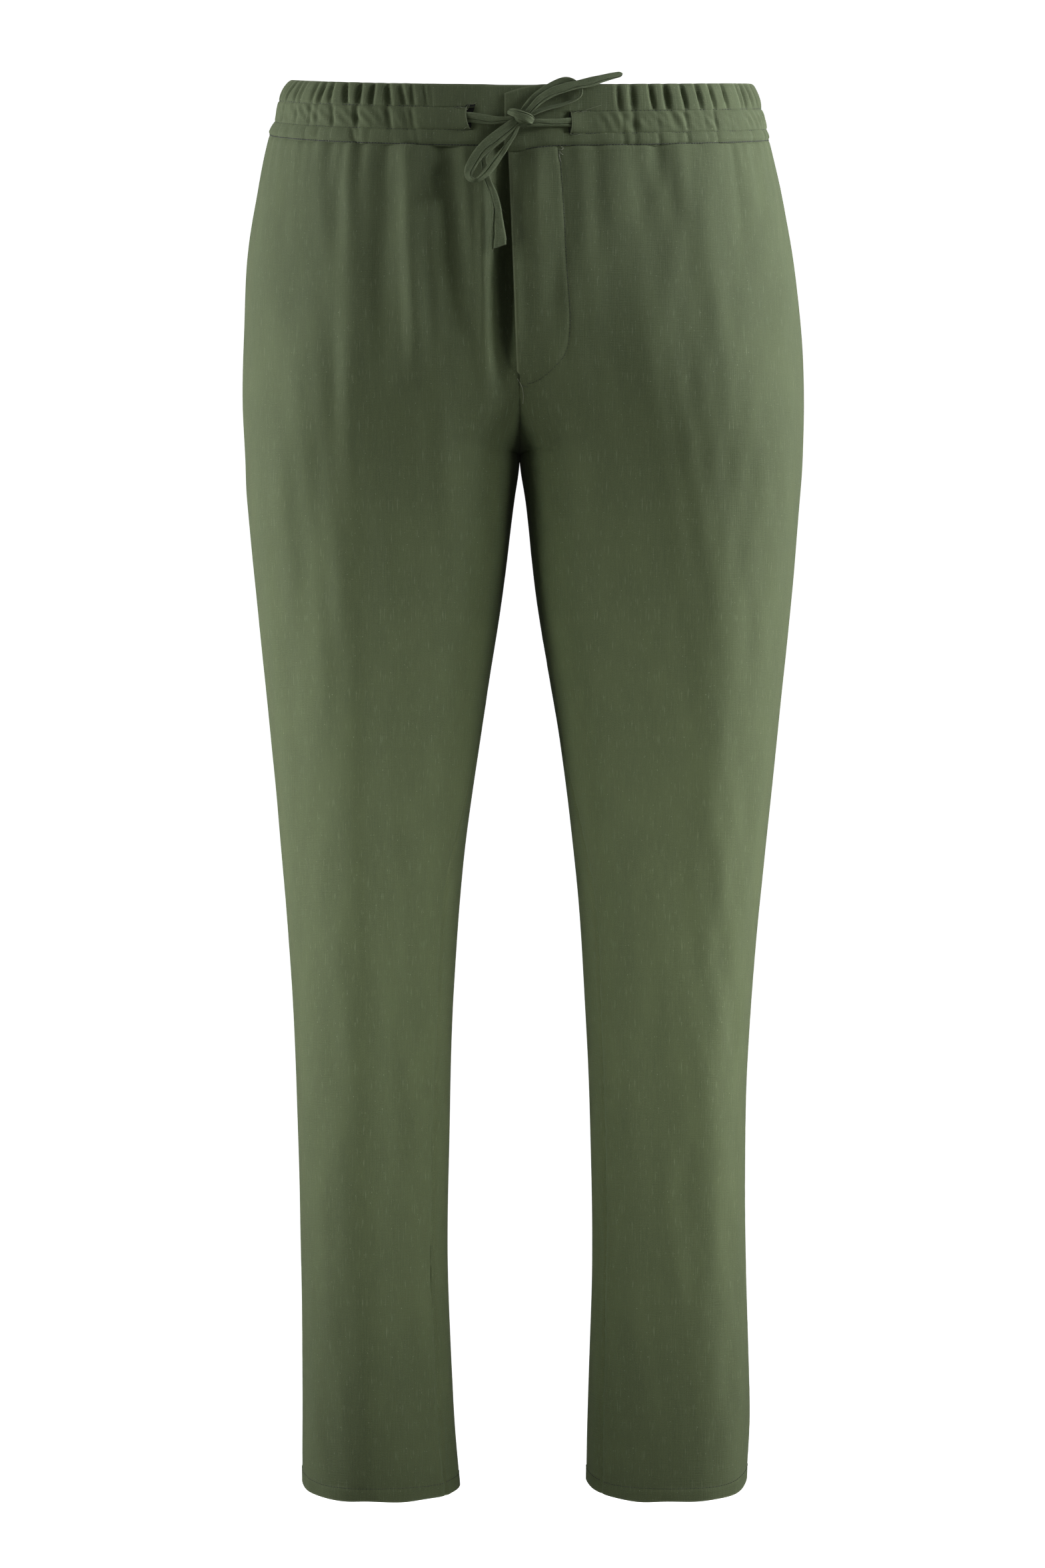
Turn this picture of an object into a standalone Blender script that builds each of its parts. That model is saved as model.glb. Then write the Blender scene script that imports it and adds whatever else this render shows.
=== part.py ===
"""Linen drawstring trousers, filled out as if worn and held at the waist.

Metres, +Z up. The front faces -Y and the wearer's left is at +X. The origin is the middle of the waist
opening, level with the top edge at the sides. Sizes below are in millimetres, and MM turns them to metres.
"""

import math

import bpy
import numpy as np

MM = 0.001

# Cloth and seams.
WALL = 1.3  # one layer of linen with its seam allowance
HEM_WALL = 2.4  # the hem, turned up twice
HEM_TURN = 12.0
HALF_GAP = 0.15  # each piece stops this far from the seam line, so neighbours lie 0.3 apart
GAP = 2 * HALF_GAP

# The waistband.
BAND_HEIGHT = 43.0
BAND_FLAT_WALL = 2.0  # the ungathered centre front
BAND_WALL = 3.2  # the gathered part over the elastic
FLAT_HALF_WIDTH = 66.0
TUNNEL_TOP = 17.5  # below the top edge
TUNNEL_BOTTOM = 33.5
TUNNEL_END = 36.0  # the drawstring comes out of the tunnel this far from the centre
TUNNEL_RECESS = 1.0
BAND_OVERLAP = 10.7  # the left half passes the centre by this much
BAND_UNDERLAP = 30.0  # the right half runs on this far behind the left one
BAND_SINK = BAND_FLAT_WALL + 0.5
BAND_SINK_START = 30.0
BAND_SINK_END = 13.0
GATHER_START = 46.0  # the gathers grow from nothing here to their full height at GATHER_FULL
GATHER_FULL = 76.0
GATHER_PITCH = 10.5
GATHER_UNEVENNESS = 0.22
GATHER_BEAT = 1.9
FLAT_COLUMNS = [
    0.0, 6.5, BAND_SINK_END, 18.0, 24.0, BAND_SINK_START, TUNNEL_END - 0.1, TUNNEL_END + 0.1, 50.0,
]

# One profile of the waistband. Columns: depth below the top edge, puff outwards, height of the gathers.
BAND_OUTER_ROWS = [
    (0.0, -0.8, 0.6),
    (1.2, 0.0, 0.7),
    (9.0, 0.4, 1.0),
    (TUNNEL_TOP - 0.4, -0.3, 0.4),
    (TUNNEL_TOP + 0.4, 0.2, 0.4),
    (25.5, 0.9, 0.9),
    (TUNNEL_BOTTOM - 0.4, 0.2, 0.4),
    (TUNNEL_BOTTOM + 0.4, -0.3, 0.4),
    (38.6, 0.1, 0.7),
    (BAND_HEIGHT, -0.2, 0.5),
]
BAND_INNER_ROWS = [BAND_HEIGHT, 22.0, 1.2, 0.0]
BAND_TOP_ROUND = 0.5
FLAT_PUFF = 0.3  # the share of the puff that the ungathered cloth has

# How far the waist ring dips at the centre front and rises at the centre back, and how far its top edge
# and the foot of the waistband are lifted at the side seams, on the wearer's right (-1) and left (1).
FRONT_DIP = -20.0
BACK_RISE = 12.0
SIDE_LIFTS = {-1: (0.0, 4.0), 1: (-3.0, 0.0)}
TILT_END = -200.0

# The fly.
FLY_BOTTOM = -222.0
FLY_OVERLAP_TOP = 8.0
FLY_OVERLAP_BOTTOM = 2.0

# Heights of the crotch.
CLEFT_START = -60.0
CROTCH = -274.0
CLEFT_FLATNESS = 3.0
CLEFT_ROUNDNESS = 1.4
HEM = -1017.0

# The side seams lie a little behind the widest line, and the inseams roll forward on the lower legs.
SIDE_SEAM_ANGLE = -5.0
INSEAM_ROLL = 36.0
ROLL_START = -400.0
ROLL_END = -620.0

# The sections are ellipses with slightly squared corners. Between the thighs the cloth spans flatter.
ROUND_POWER = 2.15
SPAN_POWER = 3.4
SPAN_END = -470.0

# Hip and leg sizes to the outside of the cloth. Columns: height, outer half width on the wearer's right,
# outer half width on the left, inner half width right, inner half width left, front depth, back depth.
SECTIONS = [
    (0, 164, 168, 0, 0, 112, 114),
    (-14, 173, 173, 0, 0, 114, 118),
    (-28, 175, 176, 0, 0, 116, 122),
    (-43, 181, 180, 0, 0, 118, 126),
    (-87, 190, 190, 0, 0, 125, 137),
    (-135, 197, 198, 0, 0, 130, 146),
    (-183, 199, 203, 0, 0, 131, 149),
    (-231, 200, 205, 0, 0, 128, 147),
    (-274, 198, 204, 0, 0, 121, 139),
    (-303, 197, 202, 4, 4, 116, 133),
    (-376, 190, 196, 13, 12, 106, 120),
    (-472, 180, 186, 28, 28, 95, 105),
    (-568, 171, 176, 41, 40, 86, 92),
    (-665, 164, 167, 48, 47, 78, 82),
    (-761, 160, 163, 51, 51, 71, 76),
    (-857, 158, 163, 52, 52, 67, 72),
    (-954, 157, 166, 48, 49, 65, 71),
    (-1017, 157, 164, 43, 48, 65, 71),
]

# Heights of the rows of a leg panel, before the tilt of the waist.
PANEL_ROWS = [
    -BAND_HEIGHT - GAP, -60, -85, -115, -150, -185, FLY_BOTTOM, FLY_BOTTOM - 1.5, -240, -254, -264, -270.5,
    CROTCH, -279, -292, -320, -375, -450, -535, -620, -705, -790, -875, -950,
    HEM + HEM_TURN + 1, HEM + HEM_TURN, HEM,
]

# Where a panel's columns lie, as shares of its width. Those up to NEAR_SHARE take up the extra cloth
# that runs under the crotch, so that the others hang straight.
NEAR_SHARE = 0.2
FRONT_NEAR_COLUMNS = 9
FRONT_FAR_COLUMNS = 15
BACK_NEAR_COLUMNS = 4
BACK_FAR_COLUMNS = 12
STRAIGHT_TOP = -215.0
STRAIGHT_BOTTOM = -470.0

# Folds. Columns: x and height of the upper end, x and height of the lower end, depth (a ridge is
# positive, a valley negative), half width. x runs from the centre towards the side of that panel.
FOLDS = {
    "front_right": [
        (27, -85, 24, -235, 2.5, 9),
        (61, -40, 38, -170, -2.6, 12),
        (64, -66, 70, -120, 1.6, 9),
        (87, -40, 80, -200, 3.0, 13),
        (101, -40, 98, -235, -2.6, 13),
        (122, -30, 124, -150, -1.6, 14),
        (150, -200, 118, -420, 2.2, 22),
        (95, -300, 88, -640, -2.4, 24),
        (130, -560, 118, -860, 2.0, 20),
        (88, -640, 84, -960, -1.8, 18),
    ],
    "front_left": [
        (19, -50, 21, -180, 1.2, 11),
        (43, -45, 45, -150, -2.0, 12),
        (81, -40, 84, -150, -1.8, 13),
        (104, -40, 108, -160, -1.8, 13),
        (128, -40, 136, -260, 1.8, 16),
        (60, -290, 82, -560, -2.4, 22),
        (140, -300, 138, -620, 2.2, 24),
        (84, -600, 92, -900, -2.0, 20),
        (138, -640, 136, -960, 1.8, 18),
    ],
    "back_right": [
        (40, -35, 46, -150, -2.0, 14),
        (78, -35, 84, -170, 2.0, 15),
        (118, -35, 124, -150, -2.0, 15),
        (70, -190, 130, -330, -2.6, 22),
        (96, -330, 92, -560, 2.2, 24),
        (60, -600, 130, -690, -2.4, 20),
        (100, -720, 98, -960, 2.0, 20),
    ],
    "back_left": [
        (34, -35, 38, -160, -2.0, 14),
        (72, -35, 76, -140, 2.0, 15),
        (112, -35, 120, -170, -2.0, 15),
        (64, -205, 126, -350, -2.6, 22),
        (104, -340, 98, -590, 2.2, 24),
        (64, -620, 128, -700, -2.4, 20),
        (108, -740, 104, -970, 2.0, 20),
    ],
}

# The right front sinks beside the fly and passes under the left front's overlap. Columns: height, depth.
FLY_VALLEY = [(-30, 3.0), (-62, 3.4), (-95, 6.0), (-190, 6.0), (-222, 2.4), (-240, 0.0), (-2000, 0.0)]
FOLD_FACING = (0.2, 0.6)  # folds fade out where the cloth turns to the side
FLY_VALLEY_FLAT = 17.0
FLY_VALLEY_EDGE = 28.0

# The drawstring: a flat tape. Columns: x, height, lift of its middle off the cloth, width.
TAPE_THICKNESS = 1.6
TAPE_SIDES = 6
TAPE_STEP = 3.8
RUN_RIGHT = [
    (-35.5, -43.5, 0.3, 6.8), (-24.6, -45.2, 2.2, 6.4), (-17.1, -46.2, 3.4, 5.6), (-6.2, -45.9, 4.6, 4.2),
]
RUN_LEFT = [
    (35.5, -47.1, 0.3, 6.0), (28, -47.6, 1.7, 5.4), (19, -48.0, 3.2, 5.2), (9.2, -48.2, 4.4, 4.8),
]
LOOP_UPPER = [
    (2.8, -40.4, 4.5, 5.0), (11.0, -30.6, 4.8, 6.4), (18.0, -25.2, 4.8, 6.4),
    (26.6, -20.2, 4.8, 6.2), (32.4, -18.6, 4.8, 6.2), (38.0, -20.2, 5.0, 5.4), (42.4, -24.4, 4.8, 4.2),
    (41.6, -29.0, 4.0, 3.8), (37.0, -32.0, 3.4, 3.6), (28.6, -35.2, 3.2, 3.6), (18.4, -38.0, 3.6, 3.6),
    (9.2, -41.6, 4.2, 4.0),
]
TAIL_UPPER = [
    (6.4, -40.6, 6.6, 4.8), (14.5, -32.0, 7.8, 6.2), (22.6, -26.9, 8.0, 6.8),
    (31.8, -23.4, 8.0, 6.6), (40.0, -21.3, 7.8, 6.0), (50.4, -18.8, 7.4, 6.6), (56.4, -16.8, 7.0, 5.6),
    (63.5, -14.6, 6.4, 4.8), (71.7, -12.4, 5.6, 3.8),
]
LOOP_LOWER = [
    (-5.0, -49.2, 5.4, 6.4), (-10.4, -54.0, 5.6, 8.6), (-16.6, -59.0, 5.8, 9.0),
    (-23.0, -64.4, 6.0, 8.8), (-28.6, -70.4, 6.2, 8.0), (-32.8, -76.8, 6.4, 7.2), (-34.9, -82.2, 6.8, 6.0),
    (-33.8, -86.6, 7.2, 4.4), (-30.2, -88.0, 7.4, 4.0), (-25.0, -84.8, 7.6, 4.8), (-19.2, -78.8, 7.6, 5.2),
    (-13.8, -71.8, 7.2, 4.8), (-8.8, -64.6, 6.6, 3.8), (-4.2, -57.4, 6.0, 3.2), (-1.8, -51.6, 5.2, 3.2),
]
TAIL_LOWER = [
    (-6.4, -51.4, 1.6, 4.6), (-12.8, -58.4, 2.0, 5.0), (-20.4, -65.0, 2.4, 5.0), (-24.8, -71.6, 3.0, 4.6),
    (-24.6, -78.6, 3.4, 4.2), (-23.3, -85.2, 3.8, 4.2), (-21.2, -91.6, 4.2, 4.4), (-18.0, -99.0, 4.6, 4.8),
    (-16.1, -106.9, 5.0, 5.6), (-15.6, -115.0, 5.6, 7.4), (-15.1, -123.5, 6.0, 9.2), (-14.6, -131.0, 6.2, 10.6),
    (-14.4, -135.2, 6.2, 10.2),
]
KNOT_CENTRE = (1.8, -45.4, 4.9)
KNOT_SIZE = (15.0, 8.6, 8.6)  # width, height, depth
KNOT_TURN = 22.0
KNOT_SEGMENTS = 16
KNOT_RINGS = 8

OUTLINE_STEPS = 90


def clear_scene():
    for old in list(bpy.data.objects):
        bpy.data.objects.remove(old)


def linen(name, colour):
    """A woven linen surface of the given linear colour."""
    material = bpy.data.materials.new(name)
    material.use_nodes = True
    shader = material.node_tree.nodes["Principled BSDF"]
    shader.inputs["Base Color"].default_value = (*colour, 1)
    shader.inputs["Roughness"].default_value = 0.85
    shader.inputs["Metallic"].default_value = 0.0
    return material


def ease(value, start, end):
    """0 at start and 1 at end, with soft ends."""
    part = min(max((value - start) / (end - start), 0.0), 1.0)
    return part * part * (3 - 2 * part)


def section_sizes(height, side):
    """Outer half width, inner half width, front depth and back depth of one side at a height."""
    heights, outer_right, outer_left, inner_right, inner_left, front, back = zip(*reversed(SECTIONS))
    outer, inner = (outer_right, inner_right) if side < 0 else (outer_left, inner_left)
    return [smooth_column(heights, column, height) for column in (outer, inner, front, back)]


def smooth_column(places, values, place):
    """A Catmull-Rom curve through (place, value) pairs, with the places in rising order."""
    last = len(places) - 1
    index = min(max(int(np.searchsorted(places, place)) - 1, 0), last - 1)
    span = places[index + 1] - places[index]
    part = min(max((place - places[index]) / span, 0.0), 1.0)

    def slope(i):
        low, high = max(i - 1, 0), min(i + 1, last)
        return (values[high] - values[low]) / (places[high] - places[low])

    start, end = slope(index) * span, slope(index + 1) * span
    square, cube = part * part, part * part * part
    return (
        values[index] * (2 * cube - 3 * square + 1)
        + start * (cube - 2 * square + part)
        + values[index + 1] * (3 * square - 2 * cube)
        + end * (cube - square)
    )


def ring_axes(height, side, offset):
    """Centre x, half width, front depth and back depth of the ellipse of one side, offset outwards."""
    outer, inner, front, back = section_sizes(height, side)
    if height > CROTCH:
        share = max((CLEFT_START - height) / (CLEFT_START - CROTCH), 0.0)
        cleft = 1 - (1 - share**CLEFT_FLATNESS) ** CLEFT_ROUNDNESS
        radius = outer / (1 + cleft)
        centre = outer - radius
    else:
        inner = max(inner, HALF_GAP)
        radius = (outer - inner) / 2
        centre = (outer + inner) / 2
    return centre, radius + offset, front + offset, back + offset


def inner_power(height):
    """The power of the section between the thighs, which rounds off down the legs."""
    return ROUND_POWER + (SPAN_POWER - ROUND_POWER) * (1 - ease(height, CROTCH, SPAN_END))


def ring_point(axes, height, angle):
    """A point of the ring: 0 degrees is the side, 90 the front, 180 the inner side and 270 the back."""
    centre, radius, front, back = axes
    across, out = math.cos(math.radians(angle)), math.sin(math.radians(angle))
    power = 2 / (inner_power(height) if across < 0 else ROUND_POWER)
    depth = front if out > 0 else -back
    return centre + radius * math.copysign(abs(across) ** power, across), -depth * abs(out) ** power


def centre_angle(axes, height):
    """Where the ring meets the centre seam, or 180 where it stays clear of it."""
    centre, radius = axes[:2]
    share = (centre - HALF_GAP) / radius
    if share >= 1:
        return 180.0
    return math.degrees(math.acos(-(max(share, 0.0) ** (inner_power(height) / 2))))


def outline(height, side, offset, face):
    """Points of a panel's edge-to-edge section at a height, from its centre seam or inseam to its side seam,
    on the positive side, with their distance along the cloth."""
    axes = ring_axes(height, side, offset)
    inner_end = centre_angle(axes, height)
    meets = inner_end >= 180.0
    if height < CROTCH:
        inner_end = 180.0 - INSEAM_ROLL * ease(height, ROLL_START, ROLL_END)
    side_end = SIDE_SEAM_ANGLE
    if face == "back":
        side_end += 360.0
        inner_end = 360.0 - inner_end if height >= CROTCH else inner_end
    angles = np.linspace(inner_end, side_end, OUTLINE_STEPS)
    points = np.array([ring_point(axes, height, angle) for angle in angles])
    if not meets and height >= CROTCH:
        points[0, 0] = HALF_GAP
    return trimmed(points, HALF_GAP if meets else 0.0, HALF_GAP)


def trimmed(points, start, end):
    """The points with both ends cut back along the line, and each point's distance from the start."""
    steps = np.linalg.norm(np.diff(points, axis=0), axis=1)
    along = np.concatenate([[0.0], np.cumsum(steps)])
    places = np.linspace(start, along[-1] - end, len(points))
    cut = np.column_stack([np.interp(places, along, points[:, axis]) for axis in (0, 1)])
    return cut, places - start


def tilt(height, x, side, face):
    """How far the waist's dip, rise and side lift move a point of the front or back half up or down."""
    width = section_sizes(height, side)[0]
    out = math.sqrt(max(1 - (x / width) ** 2, 0.0))
    dip = FRONT_DIP if face == "front" else BACK_RISE
    top_lift, foot_lift = SIDE_LIFTS[side]
    side_lift = top_lift + (foot_lift - top_lift) * min(-height / BAND_HEIGHT, 1.0)
    return (dip * out + side_lift * (1 - out)) * (1 - ease(height, -BAND_HEIGHT, TILT_END))


def fold_height(name, x, height):
    """The height of all folds of a panel at one place, outwards."""
    total = 0.0
    for x_top, top, x_bottom, bottom, depth, half_width in FOLDS[name]:
        part = (top - height) / (top - bottom)
        if not 0 < part < 1:
            continue
        away = (x - (x_top + (x_bottom - x_top) * part)) / half_width
        if abs(away) < 1:
            total += depth * (1 - away * away) ** 2 * math.sin(math.pi * part) ** 0.7
    if name == "front_right":
        total -= fly_valley(x, height)
    return total


def fly_valley(x, height):
    """How deep the right front sinks beside and under the fly at a place."""
    heights = [row[0] for row in reversed(FLY_VALLEY)]
    depths = [row[1] for row in reversed(FLY_VALLEY)]
    return np.interp(height, heights, depths) * ease(x, FLY_VALLEY_EDGE, FLY_VALLEY_FLAT)


def straight_length(height, side, face):
    """The width of cloth that a panel's straight columns are shared out over at a height."""
    if not STRAIGHT_BOTTOM < height < STRAIGHT_TOP:
        return outline(height, side, 0.0, face)[1][-1]
    top = outline(STRAIGHT_TOP, side, 0.0, face)[1][-1]
    bottom = outline(STRAIGHT_BOTTOM, side, 0.0, face)[1][-1]
    return top + (bottom - top) * ease(height, STRAIGHT_TOP, STRAIGHT_BOTTOM)


def spread(line, places, fractions, straight, extension):
    """Points at the given shares of a section. Negative places, past the centre, mirror its first points."""
    wide = places[-1] + extension
    near = wide - (1 - NEAR_SHARE) * (straight + extension)
    shares = np.array(fractions)
    far = wide - (1 - shares) * (straight + extension)
    wanted = np.where(shares < NEAR_SHARE, shares / NEAR_SHARE * near, far) - extension
    x = np.interp(np.abs(wanted), places, line[:, 0]) * np.where(wanted < 0, -1, 1)
    y = np.interp(np.abs(wanted), places, line[:, 1])
    return np.column_stack([x, y])


def outward(points):
    """Unit vectors square to a line of points, pointing out of the garment."""
    along = np.gradient(points, axis=0)
    across = np.column_stack([along[:, 1], -along[:, 0]])
    return across / np.linalg.norm(across, axis=1)[:, None]


def column_fractions(face):
    """Where a panel's columns lie: the front ones are closer near the fly."""
    near_count = FRONT_NEAR_COLUMNS if face == "front" else BACK_NEAR_COLUMNS
    far_count = FRONT_FAR_COLUMNS if face == "front" else BACK_FAR_COLUMNS
    near = np.linspace(0, NEAR_SHARE, near_count + 1)
    return np.concatenate([near[:-1], np.linspace(NEAR_SHARE, 1, far_count + 1)])


def fly_overlap(height):
    """How far the left front passes the centre at a height."""
    if height < FLY_BOTTOM:
        return 0.0
    share = (height - FLY_BOTTOM) / (-BAND_HEIGHT - FLY_BOTTOM)
    return FLY_OVERLAP_BOTTOM + (FLY_OVERLAP_TOP - FLY_OVERLAP_BOTTOM) * share


def panel_row(name, face, side, height, fractions):
    """Outer and inner points of one row of a panel."""
    inner_wall = HEM_WALL if height <= HEM + HEM_TURN else WALL
    extension = fly_overlap(height) if name == "front_left" else 0.0
    straight = straight_length(height, side, face)
    outer = spread(*outline(height, side, 0.0, face), fractions, straight, extension)
    inner = spread(*outline(height, side, -inner_wall, face), fractions, straight, extension)
    push = outward(outer) * (1 if face == "front" else -1)
    if height > CROTCH:
        push[0] = (0, -1 if face == "front" else 1)
    outer_row, inner_row = [], []
    for index, point in enumerate(outer):
        z = height + tilt(height, point[0], side, "front" if point[1] < 0 else "back")
        facing = abs(push[index][1])
        fold = fold_height(name, point[0], z) * ease(facing, *FOLD_FACING)
        for row, base in ((outer_row, point), (inner_row, inner[index])):
            moved = base + push[index] * fold
            row.append((side * moved[0] * MM, moved[1] * MM, z * MM))
    return outer_row, inner_row


def shell(name, outer, inner, material, flip):
    """One closed body from matching grids of outer and inner points, joined round their four edges.
    Both walls are split along the same diagonals, so that the wall stays equally thick."""
    rows, columns = len(outer), len(outer[0])
    points = [point for grid in (outer, inner) for row in grid for point in row]
    back = rows * columns

    def at(row, column):
        return row * columns + column

    faces = []
    for row in range(rows - 1):
        for column in range(columns - 1):
            a, b = at(row, column), at(row, column + 1)
            c, d = at(row + 1, column + 1), at(row + 1, column)
            for corners in ((a, b, c), (a, c, d)):
                faces.append(corners)
                faces.append(tuple(back + corner for corner in reversed(corners)))
    border = [at(0, column) for column in range(columns)]
    border += [at(row, columns - 1) for row in range(1, rows)]
    border += [at(rows - 1, column) for column in reversed(range(columns - 1))]
    border += [at(row, 0) for row in reversed(range(1, rows - 1))]
    for start, end in zip(border, border[1:] + border[:1]):
        faces.append((end, start, back + start, back + end))
    if flip:
        faces = [tuple(reversed(face)) for face in faces]
    return add_mesh(name, points, faces, material)


def add_mesh(name, points, faces, material):
    mesh = bpy.data.meshes.new(name)
    mesh.from_pydata(points, [], faces)
    mesh.validate()
    mesh.shade_smooth()
    mesh.set_sharp_from_angle(angle=math.radians(40))
    mesh.materials.append(material)
    solid = bpy.data.objects.new(name, mesh)
    bpy.context.collection.objects.link(solid)
    return solid


def build_panel(face, side, material):
    """A front or back leg panel. side is -1 for the wearer's right and 1 for the left."""
    name = f"{face}_{'right' if side < 0 else 'left'}"
    fractions = column_fractions(face)
    outer, inner = zip(*[panel_row(name, face, side, height, fractions) for height in PANEL_ROWS])
    return shell(name, outer, inner, material, flip=(face == "front") == (side > 0))


def band_section(height, side, offset):
    """Points of half the waistband's ring from the centre front round the side to the centre back."""
    axes = ring_axes(height, side, offset)
    points = np.array([ring_point(axes, height, angle) for angle in np.linspace(90, -90, 2 * OUTLINE_STEPS)])
    points[0, 0] = points[-1, 0] = HALF_GAP
    return trimmed(points, start=0.0, end=0.0)


def band_columns(length, extension):
    """Distances from the centre front at which the band has a column, and each one's gather: -1, 0 or 1."""
    flat = [-extension, -extension / 2, *FLAT_COLUMNS, FLAT_HALF_WIDTH]
    count = round((length - FLAT_HALF_WIDTH) / GATHER_PITCH) * 2
    pitch = (length - FLAT_HALF_WIDTH) / count
    gathered = []
    for index in range(1, count):
        shift = GATHER_UNEVENNESS * math.sin(GATHER_BEAT * index) * pitch
        gathered.append((FLAT_HALF_WIDTH + pitch * index + shift, -1 if index % 2 else 1))
    return [(place, 0) for place in flat] + gathered + [(length, 0)]


def band_outer(place, row, gather, sinks):
    """The offset of the band's outer face at a column and a row."""
    depth, puff, wave = row
    fullness = ease(place, GATHER_START, GATHER_FULL)
    inside_tunnel = TUNNEL_TOP < depth < TUNNEL_BOTTOM
    if inside_tunnel and place < TUNNEL_END:
        offset = -TUNNEL_RECESS
    else:
        offset = puff * (1.0 if inside_tunnel else max(fullness, FLAT_PUFF)) + wave * gather * fullness
    return offset - sinks * BAND_SINK * ease(place, BAND_SINK_START, BAND_SINK_END)


def band_inner(place, depth, sinks):
    """The offset of the band's inner face at a column and a depth."""
    wall = BAND_FLAT_WALL + (BAND_WALL - BAND_FLAT_WALL) * ease(place, GATHER_START, GATHER_FULL)
    top = BAND_TOP_ROUND if depth == 0 else 0.0
    return top - wall - sinks * BAND_SINK * ease(place, BAND_SINK_START, BAND_SINK_END)


def band_point(place, depth, side, offset):
    """A point of the waistband at a distance from the centre front and a depth below the top edge."""
    line, places = band_section(-depth, side, 0.0)
    if place > FLAT_HALF_WIDTH:
        top_length = band_section(0.0, side, 0.0)[1][-1]
        stretch = (places[-1] - FLAT_HALF_WIDTH) / (top_length - FLAT_HALF_WIDTH)
        place = FLAT_HALF_WIDTH + (place - FLAT_HALF_WIDTH) * stretch
    push = outward(line)
    x, y, across, out = [
        np.interp(abs(place), places, column) for column in (line[:, 0], line[:, 1], push[:, 0], push[:, 1])
    ]
    z = -depth + tilt(-depth, x, side, "front" if y < 0 else "back")
    x, y = x + across * offset, y + out * offset
    return side * (-x if place < 0 else x) * MM, y * MM, z * MM


def build_waistband(side, material):
    """Half the waistband. The right half runs on behind the left one at the centre front."""
    name = f"waistband_{'right' if side < 0 else 'left'}"
    sinks = side < 0
    length = band_section(0.0, side, 0.0)[1][-1]
    columns = band_columns(length, BAND_UNDERLAP if sinks else BAND_OVERLAP)
    profiles = []
    for place, gather in columns:
        outer = [
            band_point(place, row[0], side, band_outer(place, row, gather, sinks)) for row in BAND_OUTER_ROWS
        ]
        inner = [band_point(place, depth, side, band_inner(place, depth, sinks)) for depth in BAND_INNER_ROWS]
        profiles.append(outer + inner)
    return tube_of(name, profiles, material, flip=side < 0)


def tube_of(name, profiles, material, flip=False):
    """One closed body through a row of closed profiles, with flat ends."""
    size = len(profiles[0])
    points = [point for profile in profiles for point in profile]
    faces = []
    for step in range(len(profiles) - 1):
        for corner in range(size):
            following = (corner + 1) % size
            low, high = step * size, (step + 1) * size
            faces.append((low + corner, low + following, high + following, high + corner))
    faces.append(tuple(reversed(range(size))))
    faces.append(tuple((len(profiles) - 1) * size + corner for corner in range(size)))
    if flip:
        faces = [tuple(reversed(face)) for face in faces]
    return add_mesh(name, points, faces, material)


def front_surface(x, z):
    """The y of the front's outer face, without folds, at a place."""
    side = -1 if x < 0 else 1
    height = z
    for _ in range(8):
        height = z - tilt(height, x, side, "front")
    centre, radius, front, _ = ring_axes(height, side, 0.0)
    share = (abs(x) - centre) / radius
    power = inner_power(height) if share < 0 else ROUND_POWER
    return -front * (1 - abs(share) ** power) ** (1 / power)


def smooth_route(route):
    """Points about TAPE_STEP apart on a smooth curve through a route's own points."""
    route = np.array(route, dtype=float)
    steps = np.linalg.norm(np.diff(route[:, :2], axis=0), axis=1)
    along = np.concatenate([[0.0], np.cumsum(steps)])
    places = np.linspace(0, along[-1], max(round(along[-1] / TAPE_STEP), 3) + 1)
    columns = [[smooth_column(along, route[:, axis], place) for place in places] for axis in range(4)]
    return np.array(columns).T


def build_tape(name, route, material):
    """A run of the flat drawstring, its face turned to the front."""
    points = smooth_route(route)
    along = np.gradient(points[:, :2], axis=0)
    along /= np.linalg.norm(along, axis=1)[:, None]
    profiles = []
    for (x, z, lift, width), (right, up) in zip(points, along):
        y = front_surface(x, z) - lift
        profile = []
        for corner in range(TAPE_SIDES):
            turn = math.tau * (corner + 0.5) / TAPE_SIDES
            reach = math.cos(turn) * width / 2 / math.cos(math.pi / TAPE_SIDES)
            deep = math.sin(turn) * TAPE_THICKNESS / 2 / math.cos(math.pi / TAPE_SIDES)
            profile.append(((x - up * reach) * MM, (y - deep) * MM, (z + right * reach) * MM))
        profiles.append(profile)
    return tube_of(name, profiles, material)


def build_knot(material):
    """The knot of the bow, a flattened ball round which its runs gather."""
    x, z, lift = KNOT_CENTRE
    bpy.ops.mesh.primitive_uv_sphere_add(segments=KNOT_SEGMENTS, ring_count=KNOT_RINGS, radius=0.5)
    knot = bpy.context.object
    knot.name = "drawstring_knot"
    width, height, depth = KNOT_SIZE
    turn = math.radians(KNOT_TURN)
    y = front_surface(x, z) - lift
    for vertex in knot.data.vertices:
        across, out, up = vertex.co.x * width, vertex.co.y * depth, vertex.co.z * height
        right = across * math.cos(turn) + up * math.sin(turn)
        rise = up * math.cos(turn) - across * math.sin(turn)
        vertex.co = ((x + right) * MM, (y + out) * MM, (z + rise) * MM)
    knot.data.shade_smooth()
    knot.data.materials.append(material)
    return knot


def build_all():
    cloth = linen("olive_linen", (0.065, 0.085, 0.046))
    for side in (-1, 1):
        for face in ("front", "back"):
            build_panel(face, side, cloth)
        build_waistband(side, cloth)
    tape = linen("olive_tape", (0.075, 0.095, 0.055))
    build_tape("drawstring_run_right", RUN_RIGHT, tape)
    build_tape("drawstring_run_left", RUN_LEFT, tape)
    build_tape("drawstring_loop_upper", LOOP_UPPER, tape)
    build_tape("drawstring_loop_lower", LOOP_LOWER, tape)
    build_tape("drawstring_tail_upper", TAIL_UPPER, tape)
    build_tape("drawstring_tail_lower", TAIL_LOWER, tape)
    build_knot(tape)


clear_scene()
build_all()
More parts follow.
